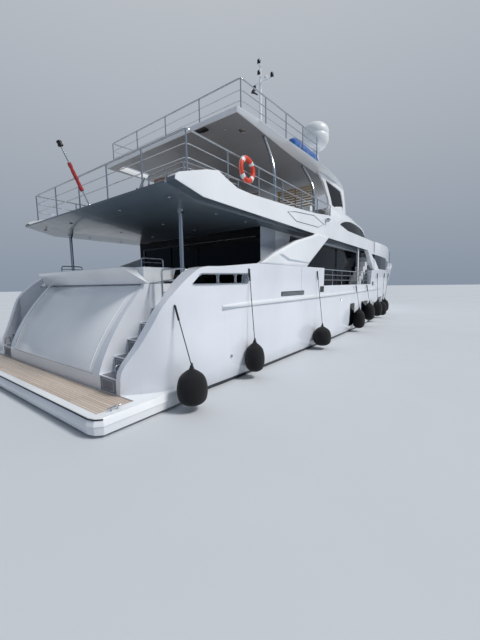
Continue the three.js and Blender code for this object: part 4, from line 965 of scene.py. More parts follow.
def pilot_shell(margin, lower=0.0):
    levels = [([Vector((x, y, 0)) for x, y in inset(both(eased(half)), margin)], z)
              for half, z in PILOT_LEVELS]
    (base, base_z), (eaves, eaves_z), (crown, crown_z) = levels
    base_z, eaves_z, crown_z = base_z - lower, eaves_z - margin / 2, crown_z - margin
    rings = [([tuple(p) for p in base], base_z)]
    for t in (0.0, 0.25, 0.5, 0.75, 1.0):
        share = [(1 - t) ** 2, 2 * t * (1 - t), t * t]
        marks = [[e.lerp(b, 0.12) for e, b in zip(eaves, base)], eaves,
                 [e.lerp(c, 0.5) for e, c in zip(eaves, crown)]]
        heights = [eaves_z + (base_z - eaves_z) * 0.12, eaves_z, (eaves_z + crown_z) / 2]
        rings.append(([tuple(sum((m[i] * s for m, s in zip(marks, share)), Vector()))
                       for i in range(len(base))], sum(h * s for h, s in zip(heights, share))))
    rings.append(([tuple(p) for p in crown], crown_z))
    return loft([[(p[0], p[1], z) for p in ring] for ring, z in rings])


arch_smooth = [(p.x, p.z)
               for p in through([(x, 0, z) for x, z in ARCH[1:]] + [(ARCH[0][0], 0, ARCH[0][1])], 5)]
pilot_inside = common(pilot_shell(0.09, 0.3), block(-4.2, 5, -4, 4, 3.0, TOP))
openings = [prism("y", arch_smooth, -4, 4), prism("x", rounded(WINDSCREEN, 0.08), -0.8, 5)]
piece("pilothouse_moulding", pilot_shell(0.0), "gelcoat_white", stands_for=["pilothouse"],
      cuts=[pilot_inside, block(-6, -4.3, -2.86, 2.86, 3, TOP), *openings], bevel=0.012, angle=32)
for name, opening in zip(("pilothouse_arch_glass", "pilothouse_windscreen"), openings):
    band = carve(bare_object("band", pilot_shell(0.025)), [pilot_shell(0.05, 0.01)])
    band = shape_of(carve(band, [opening], "INTERSECT"))
    piece(name, band, "glass_tinted", angle=25, stands_for=["pilothouse_glazing"])

# %% [markdown]
# ## Helm front and hardtop
# The helm on the open upper deck sits behind a low console. On each side a broad frame with a dark window
# rises from it and carries the hardtop. The hardtop is a curved plate, thin at its edges, with a hatch over
# the stairs.

# %% Helm front
HELM_FRAME = [(-5.0, 5.38), (-2.95, 5.372), (-3.05, 5.8), (-3.35, 6.418), (-6.25, 6.418), (-5.7, 6.15),
              (-5.25, 5.7)]
HELM_WINDOW = [(-4.75, 5.45), (-3.3, 5.44), (-3.38, 5.8), (-3.7, 6.25), (-5.55, 6.31), (-5.25, 6.05),
               (-4.9, 5.7)]
dash = [(-4.28, 5.371), (-3.0, 5.371), (-3.15, 5.56), (-3.5, 5.64), (-4.28, 5.5)]
console = [(-4.9, 4.091), (-4.31, 4.091), (-4.31, 5.371), (-4.2, 5.371), (-4.2, 5.48), (-4.75, 5.3),
           (-4.9, 5.15)]
piece("helm_console", prism("y", console, -0.95, 0.95), "gelcoat_white", bevel=0.02,
      stands_for=["helm_front"])
piece("helm_dash", prism("y", dash, -2.92, 2.92), "gelcoat_white", bevel=0.02)
frames = []
for _, sign in SIDES:
    frame_body = bare_object("frame_body", prism("y", HELM_FRAME, *span(sign, 2.86, 2.94)))
    frames.append(shape_of(carve(frame_body,
                                 [prism("y", rounded(HELM_WINDOW, 0.12), *span(sign, 2.7, 3.1))])))
piece("helm_window_frames", merged(frames), "gelcoat_white", bevel=0.01)
panes = [prism("y", rounded(inset(HELM_WINDOW, -0.004), 0.12), *span(sign, 2.885, 2.897))
         for _, sign in SIDES]
piece("helm_side_glass", merged(panes), "glass_tinted")

# %% [markdown]
# The hardtop is laid up as one plate: a flat ceiling, an edge that swells outward, and a crowned top. Five
# outlines stacked in height give that section. The ceiling is a separate satin panel of white gelcoat painted
# grey as painted shade, with thin seams where its sheets meet.

# %% Hardtop
HARDTOP_SOFFIT = both([(-11.39, 2.96), (-10.5, 2.93), (-9.0, 2.85), (-7.8, 2.8), (-5.6, 2.8), (-4.6, 2.78),
                       (-3.6, 2.7), (-2.7, 1.3)])
HARDTOP_EDGE = both([(-11.39, 2.97), (-10.5, 3.05), (-9.0, 3.09), (-7.6, 3.14), (-5.9, 3.17), (-4.6, 3.09),
                     (-3.15, 2.87), (-2.65, 1.3)])
HARDTOP_TOP = 6.62
ROOF_FLOOR = 6.6205
CEILING = 6.42
HATCH = [(-11.1, 2.24), (-10.1, 2.23), (-9.62, 2.83), (-11.05, 2.76)]
hardtop_levels = [(HARDTOP_SOFFIT, CEILING), (inset(HARDTOP_EDGE, 0.006), 6.538), (HARDTOP_EDGE, 6.55),
                  (inset(HARDTOP_EDGE, 0.05), 6.575), (inset(HARDTOP_EDGE, 0.3), HARDTOP_TOP)]
piece("hardtop_moulding", stack(hardtop_levels), "gelcoat_white",
      cuts=[prism("z", rounded(HATCH, 0.08), 6, 7)], stands_for=["hardtop"], bevel=0.006, angle=25)

ceiling = prism("z", inset(HARDTOP_SOFFIT, 0.03), 6.4185, 6.43)
# The ceiling's grey is painted shade.
piece("hardtop_ceiling", ceiling, "ceiling_painted_shade", cuts=[prism("z", rounded(HATCH, 0.08), 6, 7)])

seams = [block(x, x + 0.012, -2.7, 2.7, 6.4172, CEILING) for x in (-9.6, -7.9, -6.2)]
seams.append(block(-11.2, -3.4, -0.006, 0.006, 6.4172, CEILING))
piece("ceiling_seams", merged(seams), "gelcoat_shaded")

speaker = prism("y", [(-11.34, 6.4186), (-11.16, 6.4186), (-11.18, 6.37), (-11.32, 6.37)], -1.83, -1.4)
piece("hardtop_speaker", speaker, "abs_black", slot="fender_cover", bevel=0.01)

POSTS = [("aft", (-10.14, 3.3, 4.416), (-9.9, 2.78, 6.46)), ("fore", (-7.46, 3.3, 4.58), (-7.15, 2.66, 6.46))]
for place, foot, head in POSTS:
    for name, sign in SIDES:
        start, end = Vector((foot[0], sign * foot[1], foot[2])), Vector((head[0], sign * head[1], head[2]))
        middle = Vector((foot[0] + 0.06, sign * (foot[1] - 0.09), (foot[2] + head[2]) / 2))
        piece(f"hardtop_post_tube_{place}_{name}", tube(through([start, middle, end], 8), 0.048, 20),
              "stainless_polished", stands_for=[f"hardtop_post_{place}_{name}"])

# %% [markdown]
# ## Rails
# Guard rails are welded from polished tube: a stout top rail that turns its corners in a bend, posts under
# it, and thinner rods between. Each post ends in a small flange where it is screwed down.

# %% Rails
def railing(corners, bays, foot, drops, radius=0.02, rod=0.011):
    shapes = []
    for drop in (0, *drops):
        shapes.append(tube(bent([(x, y, z - drop) for x, y, z in corners]), rod if drop else radius,
                           8 if drop else 12))
    stands = []
    for (start, end), count in zip(zip(corners, corners[1:]), bays):
        stands += [Vector(start).lerp(Vector(end), i / count) for i in range(count)]
    stands.append(Vector(corners[-1]))
    for p in stands:
        base = foot(p.x, p.y)
        shapes.append(tube([(p.x, p.y, base), (p.x, p.y, p.z)], 0.018, 10))
        shapes.append(turned([(0.0, 0), (0.042, 0), (0.042, 0.008), (0.022, 0.02), (0.0, 0.02)],
                             (p.x, p.y, base), sides=14))
    return merged(shapes)


def two_sided(corners):
    return [*corners, *[(x, -y, z) for x, y, z in reversed(corners) if y]]


fly_corners = two_sided([(-6.2, -3.4, 5.085), (-13.57, -3.4, 5.085)])
fly_rail = railing(fly_corners, (6, 5, 6), lambda x, y: UPPER_DECK if abs(y) < 3.2 else along(FASCIA_TOP, x),
                   (0.25, 0.5))
piece("fly_deck_rail", fly_rail, "stainless_polished", stands_for=["fly_rail"])
top_corners = two_sided([(-6.46, -2.95, 7.56), (-11.11, -2.88, 7.34)])
piece("hardtop_guard_rail", railing(top_corners, (4, 4, 4), lambda x, y: 6.592, (0.27, 0.52)),
      "stainless_polished", stands_for=["hardtop_rail"])
bow_corners = two_sided([(10.3, -2.35, 4.7), (12.7, -1.56, 4.93), (15.0, -0.48, 5.04), (15.56, 0, 5.05)])
bow_rail = railing(bow_corners, (2, 2, 1, 1, 2, 2),
                   lambda x, y: min(3.56 + (x - 9.98) * 0.1186, 3.93 + (x - 13.1) * 0.098) - 0.02, (0.3,))
piece("bow_guard_rail", bow_rail, "stainless_polished", stands_for=["bow_rail"])
BULWARK_Y = 3.56
GATE_X, GATE_IN, GATE_OUT = -13.56, 2.52, 3.263
GATE_FOOT, GATE_TOP = 1.82, 2.54
for name, sign in SIDES:
    balcony_corners = [(-7.36, sign * BULWARK_Y, 2.7), (-0.88, sign * BULWARK_Y, 2.7)]
    piece(f"balcony_guard_rail_{name}", railing(balcony_corners, (6,), lambda x, y: 2.1203, (0.19, 0.38)),
          "stainless_polished", stands_for=[f"balcony_rail_{name}"])
    gate_frame = bent([(GATE_X, sign * GATE_IN, GATE_FOOT), (GATE_X, sign * GATE_IN, GATE_TOP),
                       (GATE_X, sign * GATE_OUT, GATE_TOP), (GATE_X, sign * GATE_OUT, GATE_FOOT)], 0.07)
    rungs = [tube([(GATE_X, sign * GATE_IN, z), (GATE_X, sign * GATE_OUT, z)], 0.015, 8)
             for z in (2.31, 2.06)]
    rungs.append(tube([(GATE_X, sign * GATE_IN, GATE_FOOT), (GATE_X, sign * GATE_OUT, GATE_FOOT)], 0.02, 12))
    piece(f"stair_gate_frame_{name}", merged([tube(gate_frame, 0.02, 12), *rungs]), "stainless_polished",
          f"stair_gate_{name}", stands_for=[f"stair_gate_{name}"])

# %% [markdown]
# ## Small parts on the stern and the sides
# Small parts must sit on the skin, which curves, so each is placed by a ray shot at the hull from the side:
# the ray tells how far out the skin is at that height. A window then becomes a thin plate whose points all
# follow the skin. The tall ones are built in rows, so that they bend with it.

# %% Plates fitted to the hull
skin = BVHTree.FromPolygons([v.co for v in hull.data.vertices], [p.vertices for p in hull.data.polygons])


def side_y(x, z, sign=-1):
    hit = skin.ray_cast(Vector((x, sign * 6, z)), Vector((0, -sign, 0)))[0]
    return hit.y if hit else sign * 3.6


def fitted(outline, out, depth, sign=-1):
    """A plate with an (x, z) outline that follows the hull side, standing out of it and let into it."""
    rings = []
    for step in (-depth, out):
        rings.append([(x, side_y(x, z, sign) + sign * step, z) for x, z in outline])
    return loft(rings)


def fitted_rows(x0, x1, z0, z1, radius, out, depth, sign, rows=12, columns=4):
    """A tall plate with rounded corners that bends with the hull side, built in rows from foot to top."""
    rings = []
    for k in range(rows + 1):
        z = z0 + (z1 - z0) * (1 - math.cos(math.pi * k / rows)) / 2
        rise = max(0.0, radius - min(z - z0, z1 - z))
        bay = radius - math.sqrt(max(0.0, radius ** 2 - rise ** 2))
        xs = [x0 + bay + (x1 - x0 - 2 * bay) * i / columns for i in range(columns + 1)]
        rings.append([(x, side_y(x, z, sign) + sign * out, z) for x in xs]
                     + [(x, side_y(x, z, sign) - sign * depth, z) for x in reversed(xs)])
    return loft(rings)


def rectangle(x0, x1, z0, z1, radius=0.03):
    return rounded([(x0, z0), (x1, z0), (x1, z1), (x0, z1)], radius)


SEAM_AFT, SEAM_FORE = -9.186, -9.178
HULL_WINDOWS = [(-4.26, -3.65, 0.32, 1.27), (-2.48, -1.26, 0.36, 1.27), (1.6, 3.0, 0.7, 1.3),
                (4.2, 5.4, 0.85, 1.4)]
frames, panes, vents, slats, boxes, seams, outlets, lamps, lenses = [], [], [], [], [], [], [], [], []
for _, sign in SIDES:
    for x0, x1, z0, z1 in HULL_WINDOWS:
        frames.append(fitted_rows(x0 - 0.03, x1 + 0.03, z0 - 0.03, z1 + 0.03, 0.09, 0.004, 0.01, sign))
        panes.append(fitted_rows(x0, x1, z0, z1, 0.07, 0.007, 0.008, sign))
    vents.append(fitted(rectangle(-10.43, -8.98, 1.86, 1.99), 0.003, 0.01, sign))
    slats += [fitted(rectangle(-10.4, -9.01, z, z + 0.014, 0.005), 0.012, 0.005, sign)
              for z in (1.88, 1.912, 1.944)]
    boxes += [fitted(rectangle(x - 0.17, x + 0.17, z - 0.1, z + 0.1), 0.006, 0.01, sign)
              for x, z in ((-7.56, 2.0), (-0.38, 2.15))]
    for low, high in ((0.35, 1.69), (1.84, 2.69)):
        joint = [(SEAM_AFT, low), (SEAM_FORE, low), (SEAM_FORE, high), (SEAM_AFT, high)]
        seams.append(fitted(joint, 0.002, 0.004, sign))
    for x, z, size in ((-5.54, 1.54, 0.05), (-3.89, 2.0, 0.045), (-12.6, 0.62, 0.04), (6.2, 1.1, 0.05)):
        spot = (x, side_y(x, z, sign), z)
        outlet = [(0, 0), (size, 0), (size, 0.006), (size * 0.7, 0.012), (size * 0.55, 0.004), (0, 0.004)]
        outlets.append(turned(outlet, spot, (0, sign, 0), 20))
piece("hull_window_frames", merged(frames), "abs_black", slot="tinted_glass")
piece("hull_window_glass", merged(panes), "glass_tinted")
piece("engine_vents", merged(vents), "abs_black", slot="fender_cover")
piece("engine_vent_slats", merged(slats), "stainless_polished")
piece("fairlead_boxes", merged(boxes), "abs_black", slot="fender_cover")
piece("hull_seams", merged(seams), "rubber_black")
piece("skin_fittings", merged(outlets), "stainless_polished")

# %% [markdown]
# The mooring ports are long slots in the bulwark. Each has a polished frame and lining, two upright rollers,
# and cleats behind it. A cleat is two horns on two short legs. Round lamps sit flush in the ceilings over the
# decks.

# %% Mooring ports, cleats and lamps
def cleat(x, y, z, size=0.16):
    way = Vector((1, 0, 0))
    top = Vector((x, y, z + size * 0.42))
    lift = Vector((0, 0, 0.006))
    line = [top - way * size, top - way * size * 0.5 + lift, top + way * size * 0.5 + lift, top + way * size]
    horn = tube(line, [size * 0.06, size * 0.12, size * 0.12, size * 0.06], 10)
    legs = [tube([top + way * size * s, top + way * size * s * 1.2 - Vector((0, 0, size * 0.42))],
                 size * 0.1, 10) for s in (-0.4, 0.4)]
    return merged([horn, *legs])


ROLLER = [(0, 2.22), (0.05, 2.22), (0.05, 2.24), (0.03, 2.26), (0.03, 2.39), (0.05, 2.41), (0.05, 2.425),
          (0, 2.425)]
CLEATS = [(-12.7, 3.33, TEAK_TOP), (-12.1, 3.33, TEAK_TOP), (11.0, 1.5, 3.05), (-0.2, 3.3, TEAK_TOP)]
port_parts, linings, cleats = [], [], []
for _, sign in SIDES:
    ring = rounded(MOORING_PORT, 0.06)
    path = [(x, side_y(x, z + (0.03 if z > 2.3 else -0.03), sign) + sign * 0.004, z) for x, z in ring]
    port_parts.append(tube(path, 0.014, 8, closed=True))
    outside, inside = inset(MOORING_PORT, 0.001), inset(MOORING_PORT, 0.013)
    rims = ((outside, 3.6), (outside, 3.5), (inside, 3.5), (inside, 3.6))
    hems = [[(x, sign * y, z) for x, z in edge] for edge, y in rims]
    linings.append(loft(hems, round_trip=True))
    for x in (-12.95, -12.35):
        port_parts.append(turned(ROLLER, (x, sign * BULWARK_Y, 0), sides=16))
    cleats += [cleat(x, sign * y, z) for x, y, z in CLEATS]
    cleats.append(cleat(-15.35, sign * 3.46, 0.3, size=0.12))
piece("mooring_port_frames", merged(port_parts), "stainless_polished")
piece("mooring_port_linings", merged(linings), "stainless_polished")
piece("deck_cleats", merged(cleats), "stainless_polished")

SOFFIT_LAMPS = [(-13.6, 2.9, 3.945), (-13.6, 1.2, 3.945), (-12.2, 2.9, 3.86), (-12.2, 1.0, 3.86),
                (-11.0, 2.9, 3.86), (-11.0, 1.0, 3.86)]
spots = [(x, side * y, z) for x, y, z in SOFFIT_LAMPS for side in (-1, 1)]
spots += [(-10.9, -2.2, CEILING), (-8.8, -2.2, CEILING), (-8.8, 2.2, CEILING)]
bezel = [(0, 0.004), (0.045, 0.004), (0.045, -0.006), (0.032, -0.01), (0.03, -0.004), (0, -0.004)]
for spot in spots:
    lamps.append(turned(bezel, spot, sides=20))
    lenses.append(turned([(0, -0.003), (0.028, -0.003), (0.024, -0.008), (0, -0.01)], spot, sides=16))
lamps.append(turned([(0, 0), (0.1, 0), (0.1, -0.012), (0.085, -0.02), (0, -0.02)],
                    (-10.55, -2.5, CEILING), sides=28))
side_lamp = [(0, 0), (0.07, 0), (0.075, 0.05), (0.06, 0.12), (0.03, 0.15), (0, 0.155)]
lamps.append(turned(side_lamp, (-6.77, -3.47, 4.46), (0, -1, 0.1), 20))
piece("lamp_bezels", merged(lamps), "stainless_polished")
piece("lamp_lenses", merged(lenses), "lamp_lens")

# %% [markdown]
# The stern stairs are part of the hull. Each tread carries a pad of grey moulded grip, whose grey is darkened
# further as painted shade. Each riser has a framed panel, painted in the same darker grey with a grey line
# round it as painted shade. A small grab handle helps a swimmer up on the lowest step.

# %% Treads, risers and grab handles
pads, risers, riser_shade_frames, handles = [], [], [], []
for _, sign in SIDES:
    for i in range(TREADS + 1):
        aft, top = -14.95 + TREAD_RUN * i, TREAD_FIRST + TREAD_RISE * (i + 1)
        edge = along(STAIR_EDGE, aft + 0.03)
        if i < TREADS:
            far = along(STAIR_EDGE, aft + TREAD_RUN - 0.03)
            pad = [(aft + 0.03, sign * (STAIR_IN + 0.05)), (aft + TREAD_RUN - 0.02, sign * (STAIR_IN + 0.05)),
                   (aft + TREAD_RUN - 0.02, sign * (far - 0.07)), (aft + 0.03, sign * (edge - 0.07))]
            pads.append(prism("z", pad, top - 0.004, top + 0.005))
        # Riser panels in the darker grip grey and a grey line round each: painted shade.
        low, high, near, away = top - TREAD_RISE + 0.05, top - 0.05, STAIR_IN + 0.09, edge - 0.12
        corners = [(near, low), (away, low), (away, high), (near, high)]
        panel = [(near - 0.06, low - 0.03), (away + 0.08, low - 0.03), (away + 0.08, high + 0.03),
                 (near - 0.06, high + 0.03)]
        risers.append(prism("x", [(sign * y, z) for y, z in panel], aft - 0.003, aft + 0.01))
        riser_edge = [(aft - 0.001, sign * y, z) for y, z in rounded(corners, 0.025, 3)]
        riser_shade_frames.append(tube(riser_edge, 0.006, 6, closed=True))
    grip = [(-14.93, sign * 2.86, 0.6), (-14.9, sign * 2.8, 0.78), (-14.82, sign * 2.8, 0.8),
            (-14.78, sign * 2.86, 0.64)]
    handles.append(tube(through(grip, 5), 0.011, 8))
piece("tread_pads", merged(pads), "grip_grey_painted_shade")
piece("riser_shade_panels", merged(risers), "grip_grey_painted_shade")
piece("riser_shade_frames", merged(riser_shade_frames), "gelcoat_shaded")
piece("grab_handles", merged(handles), "stainless_polished")

# %% [markdown]
# From aft, dark glass sheets cover the saloon's end wall, a band over the doors and a strip on each side of
# them: painted shade over the white wall, which lies in shadow. Each sliding door has a slim handle that
# rides with it.

# %% Saloon end wall
END_SHEET_X = (-10.212, -10.2005)
WALL_HALF, DOOR_HEAD = 2.84, 3.602
over_doors = [(-WALL_HALF, DOOR_HEAD), (WALL_HALF, DOOR_HEAD), (WALL_HALF, 3.855), (-WALL_HALF, 3.855)]
side_strip = [(2.682, 1.79), (WALL_HALF, 1.79), (WALL_HALF, DOOR_HEAD), (2.682, DOOR_HEAD)]
# Dark sheets over the white end wall: painted shade.
shade_sheets = [prism("x", over_doors, *END_SHEET_X)]
shade_sheets += [prism("x", [(sign * y, z) for y, z in side_strip], *END_SHEET_X) for _, sign in SIDES]
piece("saloon_end_shade_sheets", merged(shade_sheets), "glass_tinted")
for name, sign in SIDES:
    handle = tube([(-10.088, sign * 0.06, 2.55), (-10.088, sign * 0.06, 3.05)], 0.008, 10)
    piece(f"saloon_door_{name}_handle", handle, "stainless_polished", f"saloon_door_{name}")

# %% [markdown]
# ## Cushions
# A cushion is foam in a sewn cover. Its cover is stretched over the foam, so the faces crown and the edges
# pull in a little. Each one starts as a rounded block, and a cloth simulation with air pressure inside it and
# no gravity then finds the crown. The move of each point is capped, so that neighbours stay apart. The mesh
# is 24 mm coarse, since the nearest cushion is 5 m from the camera, and 40 mm on the large sunpads. Cushions
# are sewn with piped seams.

# %% Cushions by cloth simulation
CUSHION_GAP = 0.012
PRESSURE, STRETCH_STIFFNESS = 4.0, 25
LAST_FRAME = 20
CROWN_LIMIT = 0.011
cushion_clock = 0.0


def cushion(name, x0, x1, y0, y1, z0, z1, fill=0.8, mesh_size=0.024):
    global cushion_clock
    gap = CUSHION_GAP
    made = bare_object(name, block(x0 + gap, x1 - gap, y0 + gap, y1 - gap, z0 + 0.002, z1 - gap))
    edge = made.modifiers.new("edge", "BEVEL")
    edge.width, edge.segments = 0.032, 3
    net = made.modifiers.new("net", "REMESH")
    net.mode, net.voxel_size = "VOXEL", mesh_size
    settle(made)
    floor_z = z0 + 0.002
    started = time.time()
    start = [v.co.copy() for v in made.data.vertices]
    held = made.vertex_groups.new(name="held")
    held.add([v.index for v in made.data.vertices if v.co.z < floor_z + 0.02], 1.0, "REPLACE")
    cloth_step = made.modifiers.new("cover", "CLOTH")
    cloth_step.settings.use_pressure = True
    cloth_step.settings.uniform_pressure_force = PRESSURE
    cloth_step.settings.tension_stiffness = STRETCH_STIFFNESS
    cloth_step.settings.vertex_group_mass = "held"
    cloth_step.settings.effector_weights.gravity = 0.0
    cloth_step.point_cache.frame_start, cloth_step.point_cache.frame_end = 1, LAST_FRAME
    for frame_number in range(1, LAST_FRAME + 1):
        bpy.context.scene.frame_set(frame_number)
    found = made.evaluated_get(bpy.context.evaluated_depsgraph_get()).data
    ended = [v.co.copy() for v in found.vertices]
    bpy.context.scene.frame_set(1)
    made.modifiers.clear()
    made.vertex_groups.clear()
    for vertex, first, last in zip(made.data.vertices, start, ended):
        move = last - first
        vertex.co = first + move * min(1.0, CROWN_LIMIT / max(move.length, 1e-6))
    cushion_clock += time.time() - started
    finer = made.modifiers.new("finer", "SUBSURF")
    finer.levels = finer.render_levels = 1
    settle(made)
    made.data.shade_smooth()
    made.data.materials.clear()
    made.data.materials.append(FINISH["acrylic_sand"])
    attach(made, "yacht")
    print(f"{name}: {len(made.data.polygons)} faces, fill {fill}")
    seam = rounded([(x0 + 0.014, y0 + 0.014), (x1 - 0.014, y0 + 0.014), (x1 - 0.014, y1 - 0.014),
                    (x0 + 0.014, y1 - 0.014)], 0.035, 4)
    if z1 - z0 < 0.25:
        piping.append(tube([(x, y, z1 - 0.034) for x, y in seam], 0.0055, 6, closed=True))


piping = []

# %% [markdown]
# The cockpit sofa is a moulded locker with cushions on it and behind it. Its table has a varnished top on one
# column.

# %% Cockpit furniture
SEAT_LENGTH = 1.335
sofa_base = merged([block(-12.97, -12.46, -2.04, 2.04, TEAK_TOP, 2.03),
                    block(-13.1, -12.985, -2.05, 2.05, TEAK_TOP, 2.235)])
piece("cockpit_sofa_base", sofa_base, "gelcoat_white", bevel=0.02, stands_for=["cockpit_sofa"])
for i in range(3):
    y = -2.02 + i * 1.35
    cushion(f"cockpit_seat_cushion_{i + 1}", -12.96, -12.455, y, y + SEAT_LENGTH, 2.032, 2.18)
    cushion(f"cockpit_back_cushion_{i + 1}", -12.975, -12.86, y, y + SEAT_LENGTH, 2.19, 2.575)
table_top = both([(-12.25, 0.5), (-12.1, 0.9), (-11.5, 0.9), (-11.35, 0.5)])
piece("cockpit_table_top", prism("z", rounded(table_top, 0.06), 2.453, 2.492), "varnished_wood", bevel=0.006,
      stands_for=["cockpit_table"])
column = [(0, TEAK_TOP), (0.255, TEAK_TOP), (0.255, 1.768), (0.12, 1.785), (0.058, 1.83), (0.058, 2.4),
          (0.14, 2.445), (0.14, 2.453), (0, 2.453)]
piece("cockpit_table_column", turned(column, (-11.8, 0, 0)), "stainless_polished")

# %% [markdown]
# On the upper deck an L-shaped sofa lies along the port side with a teak table before it, and a slatted bench
# stands behind the helm. To starboard are a small bar with a slatted screen, five wooden chairs, and a guard
# rail.

# %% Upper deck furniture
FLY_SEAT_Z = (4.382, 4.52)
CHAIR_FOOT, BENCH_HALF = 4.0945, 1.335
fly_base = merged([block(-12.29, -9.71, 2.16, 2.885, FLY_FLOOR, 4.38),
                   block(-12.29, -11.66, 0.61, 2.16, FLY_FLOOR, 4.38)])
piece("fly_sofa_base", fly_base, "gelcoat_white", bevel=0.02, stands_for=["fly_sofa"])
for i, (x0, x1) in enumerate([(-11.63, -10.68), (-10.67, -9.71)]):
    cushion(f"fly_seat_cushion_{i + 1}", x0, x1, 2.16, 2.76, *FLY_SEAT_Z)
    cushion(f"fly_back_cushion_{i + 1}", x0, x1, 2.765, 2.885, 4.525, 4.905)
cushion("fly_corner_cushion", -12.15, -11.66, 2.16, 2.76, *FLY_SEAT_Z)
cushion("fly_end_cushion", -12.15, -11.66, 0.61, 2.14, *FLY_SEAT_Z)
cushion("fly_end_back_cushion", -12.285, -12.165, 0.61, 2.14, 4.382, 4.905)
fly_top = rounded([(-11.5, 0.85), (-10.0, 0.85), (-10.0, 1.75), (-11.5, 1.75)], 0.08)
piece("fly_table_top", prism("z", fly_top, 4.801, 4.84), "teak_fore_aft", bevel=0.006,
      stands_for=["fly_table"])
leg = [(0, FLY_FLOOR), (0.13, FLY_FLOOR), (0.13, 4.1), (0.048, 4.13), (0.048, 4.76), (0.09, 4.8), (0, 4.8)]
piece("fly_table_legs", merged([turned(leg, (x, 1.3, 0)) for x in (-11.2, -10.3)]), "stainless_polished")

bar = block(-7.0, -6.78, -2.95, -2.3, FLY_FLOOR, 5.02)
piece("fly_bar_body", bar, "gelcoat_white", bevel=0.012)
bar_slats = [block(-6.77, -6.745, -3.02, -1.45, 4.9 + 0.095 * i, 4.955 + 0.095 * i) for i in range(10)]
bar_slats += [block(-6.745, -6.71, y, y + 0.05, FLY_FLOOR, 5.83) for y in (-2.97, -2.25, -1.53)]
piece("fly_bar_slats", merged(bar_slats), "wood_golden", bevel=0.004)
chair_parts = []
for x, y in ((-12.45, -0.95), (-12.1, -1.6), (-11.3, -1.75), (-10.5, -1.9), (-9.7, -2.05)):
    for side in (-0.25, 0.25):
        back_leg = [(x - 0.3, y + side, CHAIR_FOOT), (x + 0.24, y + side, 4.68), (x + 0.3, y + side, 5.1)]
        chair_parts.append(tube(bent(back_leg, 0.05), 0.02, 8))
        chair_parts.append(tube([(x + 0.28, y + side, CHAIR_FOOT), (x - 0.28, y + side, 4.56)], 0.016, 8))
        chair_parts.append(block(x - 0.32, x + 0.3, y + side - 0.025, y + side + 0.025, 4.7, 4.722))
    chair_parts += [block(x + 0.27, x + 0.29, y - 0.25, y + 0.25, z, z + 0.05)
                    for z in (4.78, 4.86, 4.94, 5.02)]
    chair_parts += [block(d, d + 0.06, y - 0.25, y + 0.25, 4.545, 4.562)
                    for d in (x - 0.28, x - 0.2, x - 0.12, x - 0.04, x + 0.04)]
piece("fly_deck_chairs", merged(chair_parts), "varnished_wood")
guard_path = [(-12.6, -1.0, 5.0), (-12.7, -2.4, 5.0), (-10.9, -2.6, 5.0)]
guard = railing(guard_path, (2, 2), lambda x, y: UPPER_DECK + 0.004, (0.12,), 0.016)
piece("fly_stair_guard", guard, "stainless_polished")

slat_shapes = []
for i in range(5):
    x = -6.69 + i * 0.127
    slat_shapes.append(block(x, x + 0.115, -BENCH_HALF, BENCH_HALF, 4.52, 4.55))
slat_shapes += [block(-6.7, -6.665, -BENCH_HALF, BENCH_HALF, 4.65 + 0.13 * i, 4.735 + 0.13 * i)
                for i in range(4)]
piece("helm_bench_slats", merged(slat_shapes), "acrylic_sand", bevel=0.008)
bench_frames = []
for y in (-1.3, 0, 1.3):
    hoop = [(-6.08, y, 4.092), (-6.08, y, 4.5), (-6.65, y, 4.5), (-6.65, y, 4.092)]
    bench_frames.append(tube(bent(hoop, 0.05), 0.018, 10))
    bench_frames.append(tube([(-6.645, y, 4.5), (-6.655, y, 5.168)], 0.016, 10))
piece("helm_bench_frame", merged(bench_frames), "stainless_polished", stands_for=["helm_bench"])

# %% [markdown]
# The upper helm has a wheel, a sloping panel with screens, and two seats on pillars behind it. They only show
# from above and from the sides, so they stay simple.

# %% Helm wheel, screens and seats
wheel_axis = Vector((-0.86, 0, 0.5)).normalized()
hub_at = Vector((-4.95, -0.45, 5.02))
side_way, up_way = Vector((0, 1, 0)), wheel_axis.cross(Vector((0, 1, 0)))
rim_path = [hub_at + (side_way * math.cos(a) + up_way * math.sin(a)) * 0.19 for a in angles(28)]
spokes = [tube([hub_at, rim_path[k]], 0.008, 8) for k in (4, 14, 23)]
column = tube([hub_at, hub_at - wheel_axis * 0.1], 0.03, 14)
wheel = merged([tube(rim_path, 0.013, 10, closed=True), *spokes, column])
piece("helm_wheel", wheel, "stainless_polished")
screen_side = [(-4.745, 5.305), (-4.26, 5.465), (-4.265, 5.478), (-4.75, 5.318)]
screens = [prism("y", screen_side, y, y + 0.42) for y in (-0.68, -0.21, 0.26)]
piece("helm_screens", merged(screens), "abs_black", slot="tinted_glass", bevel=0.004)
pillar = [(0, FLY_FLOOR), (0.16, FLY_FLOOR), (0.16, 4.105), (0.05, 4.14), (0.05, 4.58), (0.12, 4.62),
          (0, 4.62)]
seat_frames = [turned(pillar, (-5.5, y, 0)) for y in (-0.45, 0.45)]
piece("helm_seat_pillars", merged(seat_frames), "stainless_polished")
for i, y in enumerate((-0.45, 0.45)):
    cushion(f"helm_seat_cushion_{i + 1}", -5.76, -5.24, y - 0.27, y + 0.27, 4.62, 4.76)
    cushion(f"helm_seat_back_{i + 1}", -5.78, -5.66, y - 0.27, y + 0.27, 4.765, 5.25)

# %% [markdown]
# The sunpad on the hardtop is three long mattresses side by side. They are the largest cushions, with the
# coarser mesh. All the piping of the cushions is joined into one piece here.

# %% Sunpad
for i in range(3):
    y = -2.49 + i * 1.13
    cushion(f"sunpad_cushion_{i + 1}", -10.59, -7.91, y, y + 1.115, 6.6215, 6.787, 0.9, 0.04)
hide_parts("hardtop_sunpad")
piece("cushion_piping", merged(piping), "acrylic_sand")
print("cushions simulated in", round(cushion_clock, 1), "s")

# %% [markdown]
# ## Cloth and rope on deck
# A blue canvas cover lies rolled up along the starboard edge of the sun deck, lashed with three straps. It is
# a soft roll, so its section swells and sinks along its length, with creases where the straps bite.

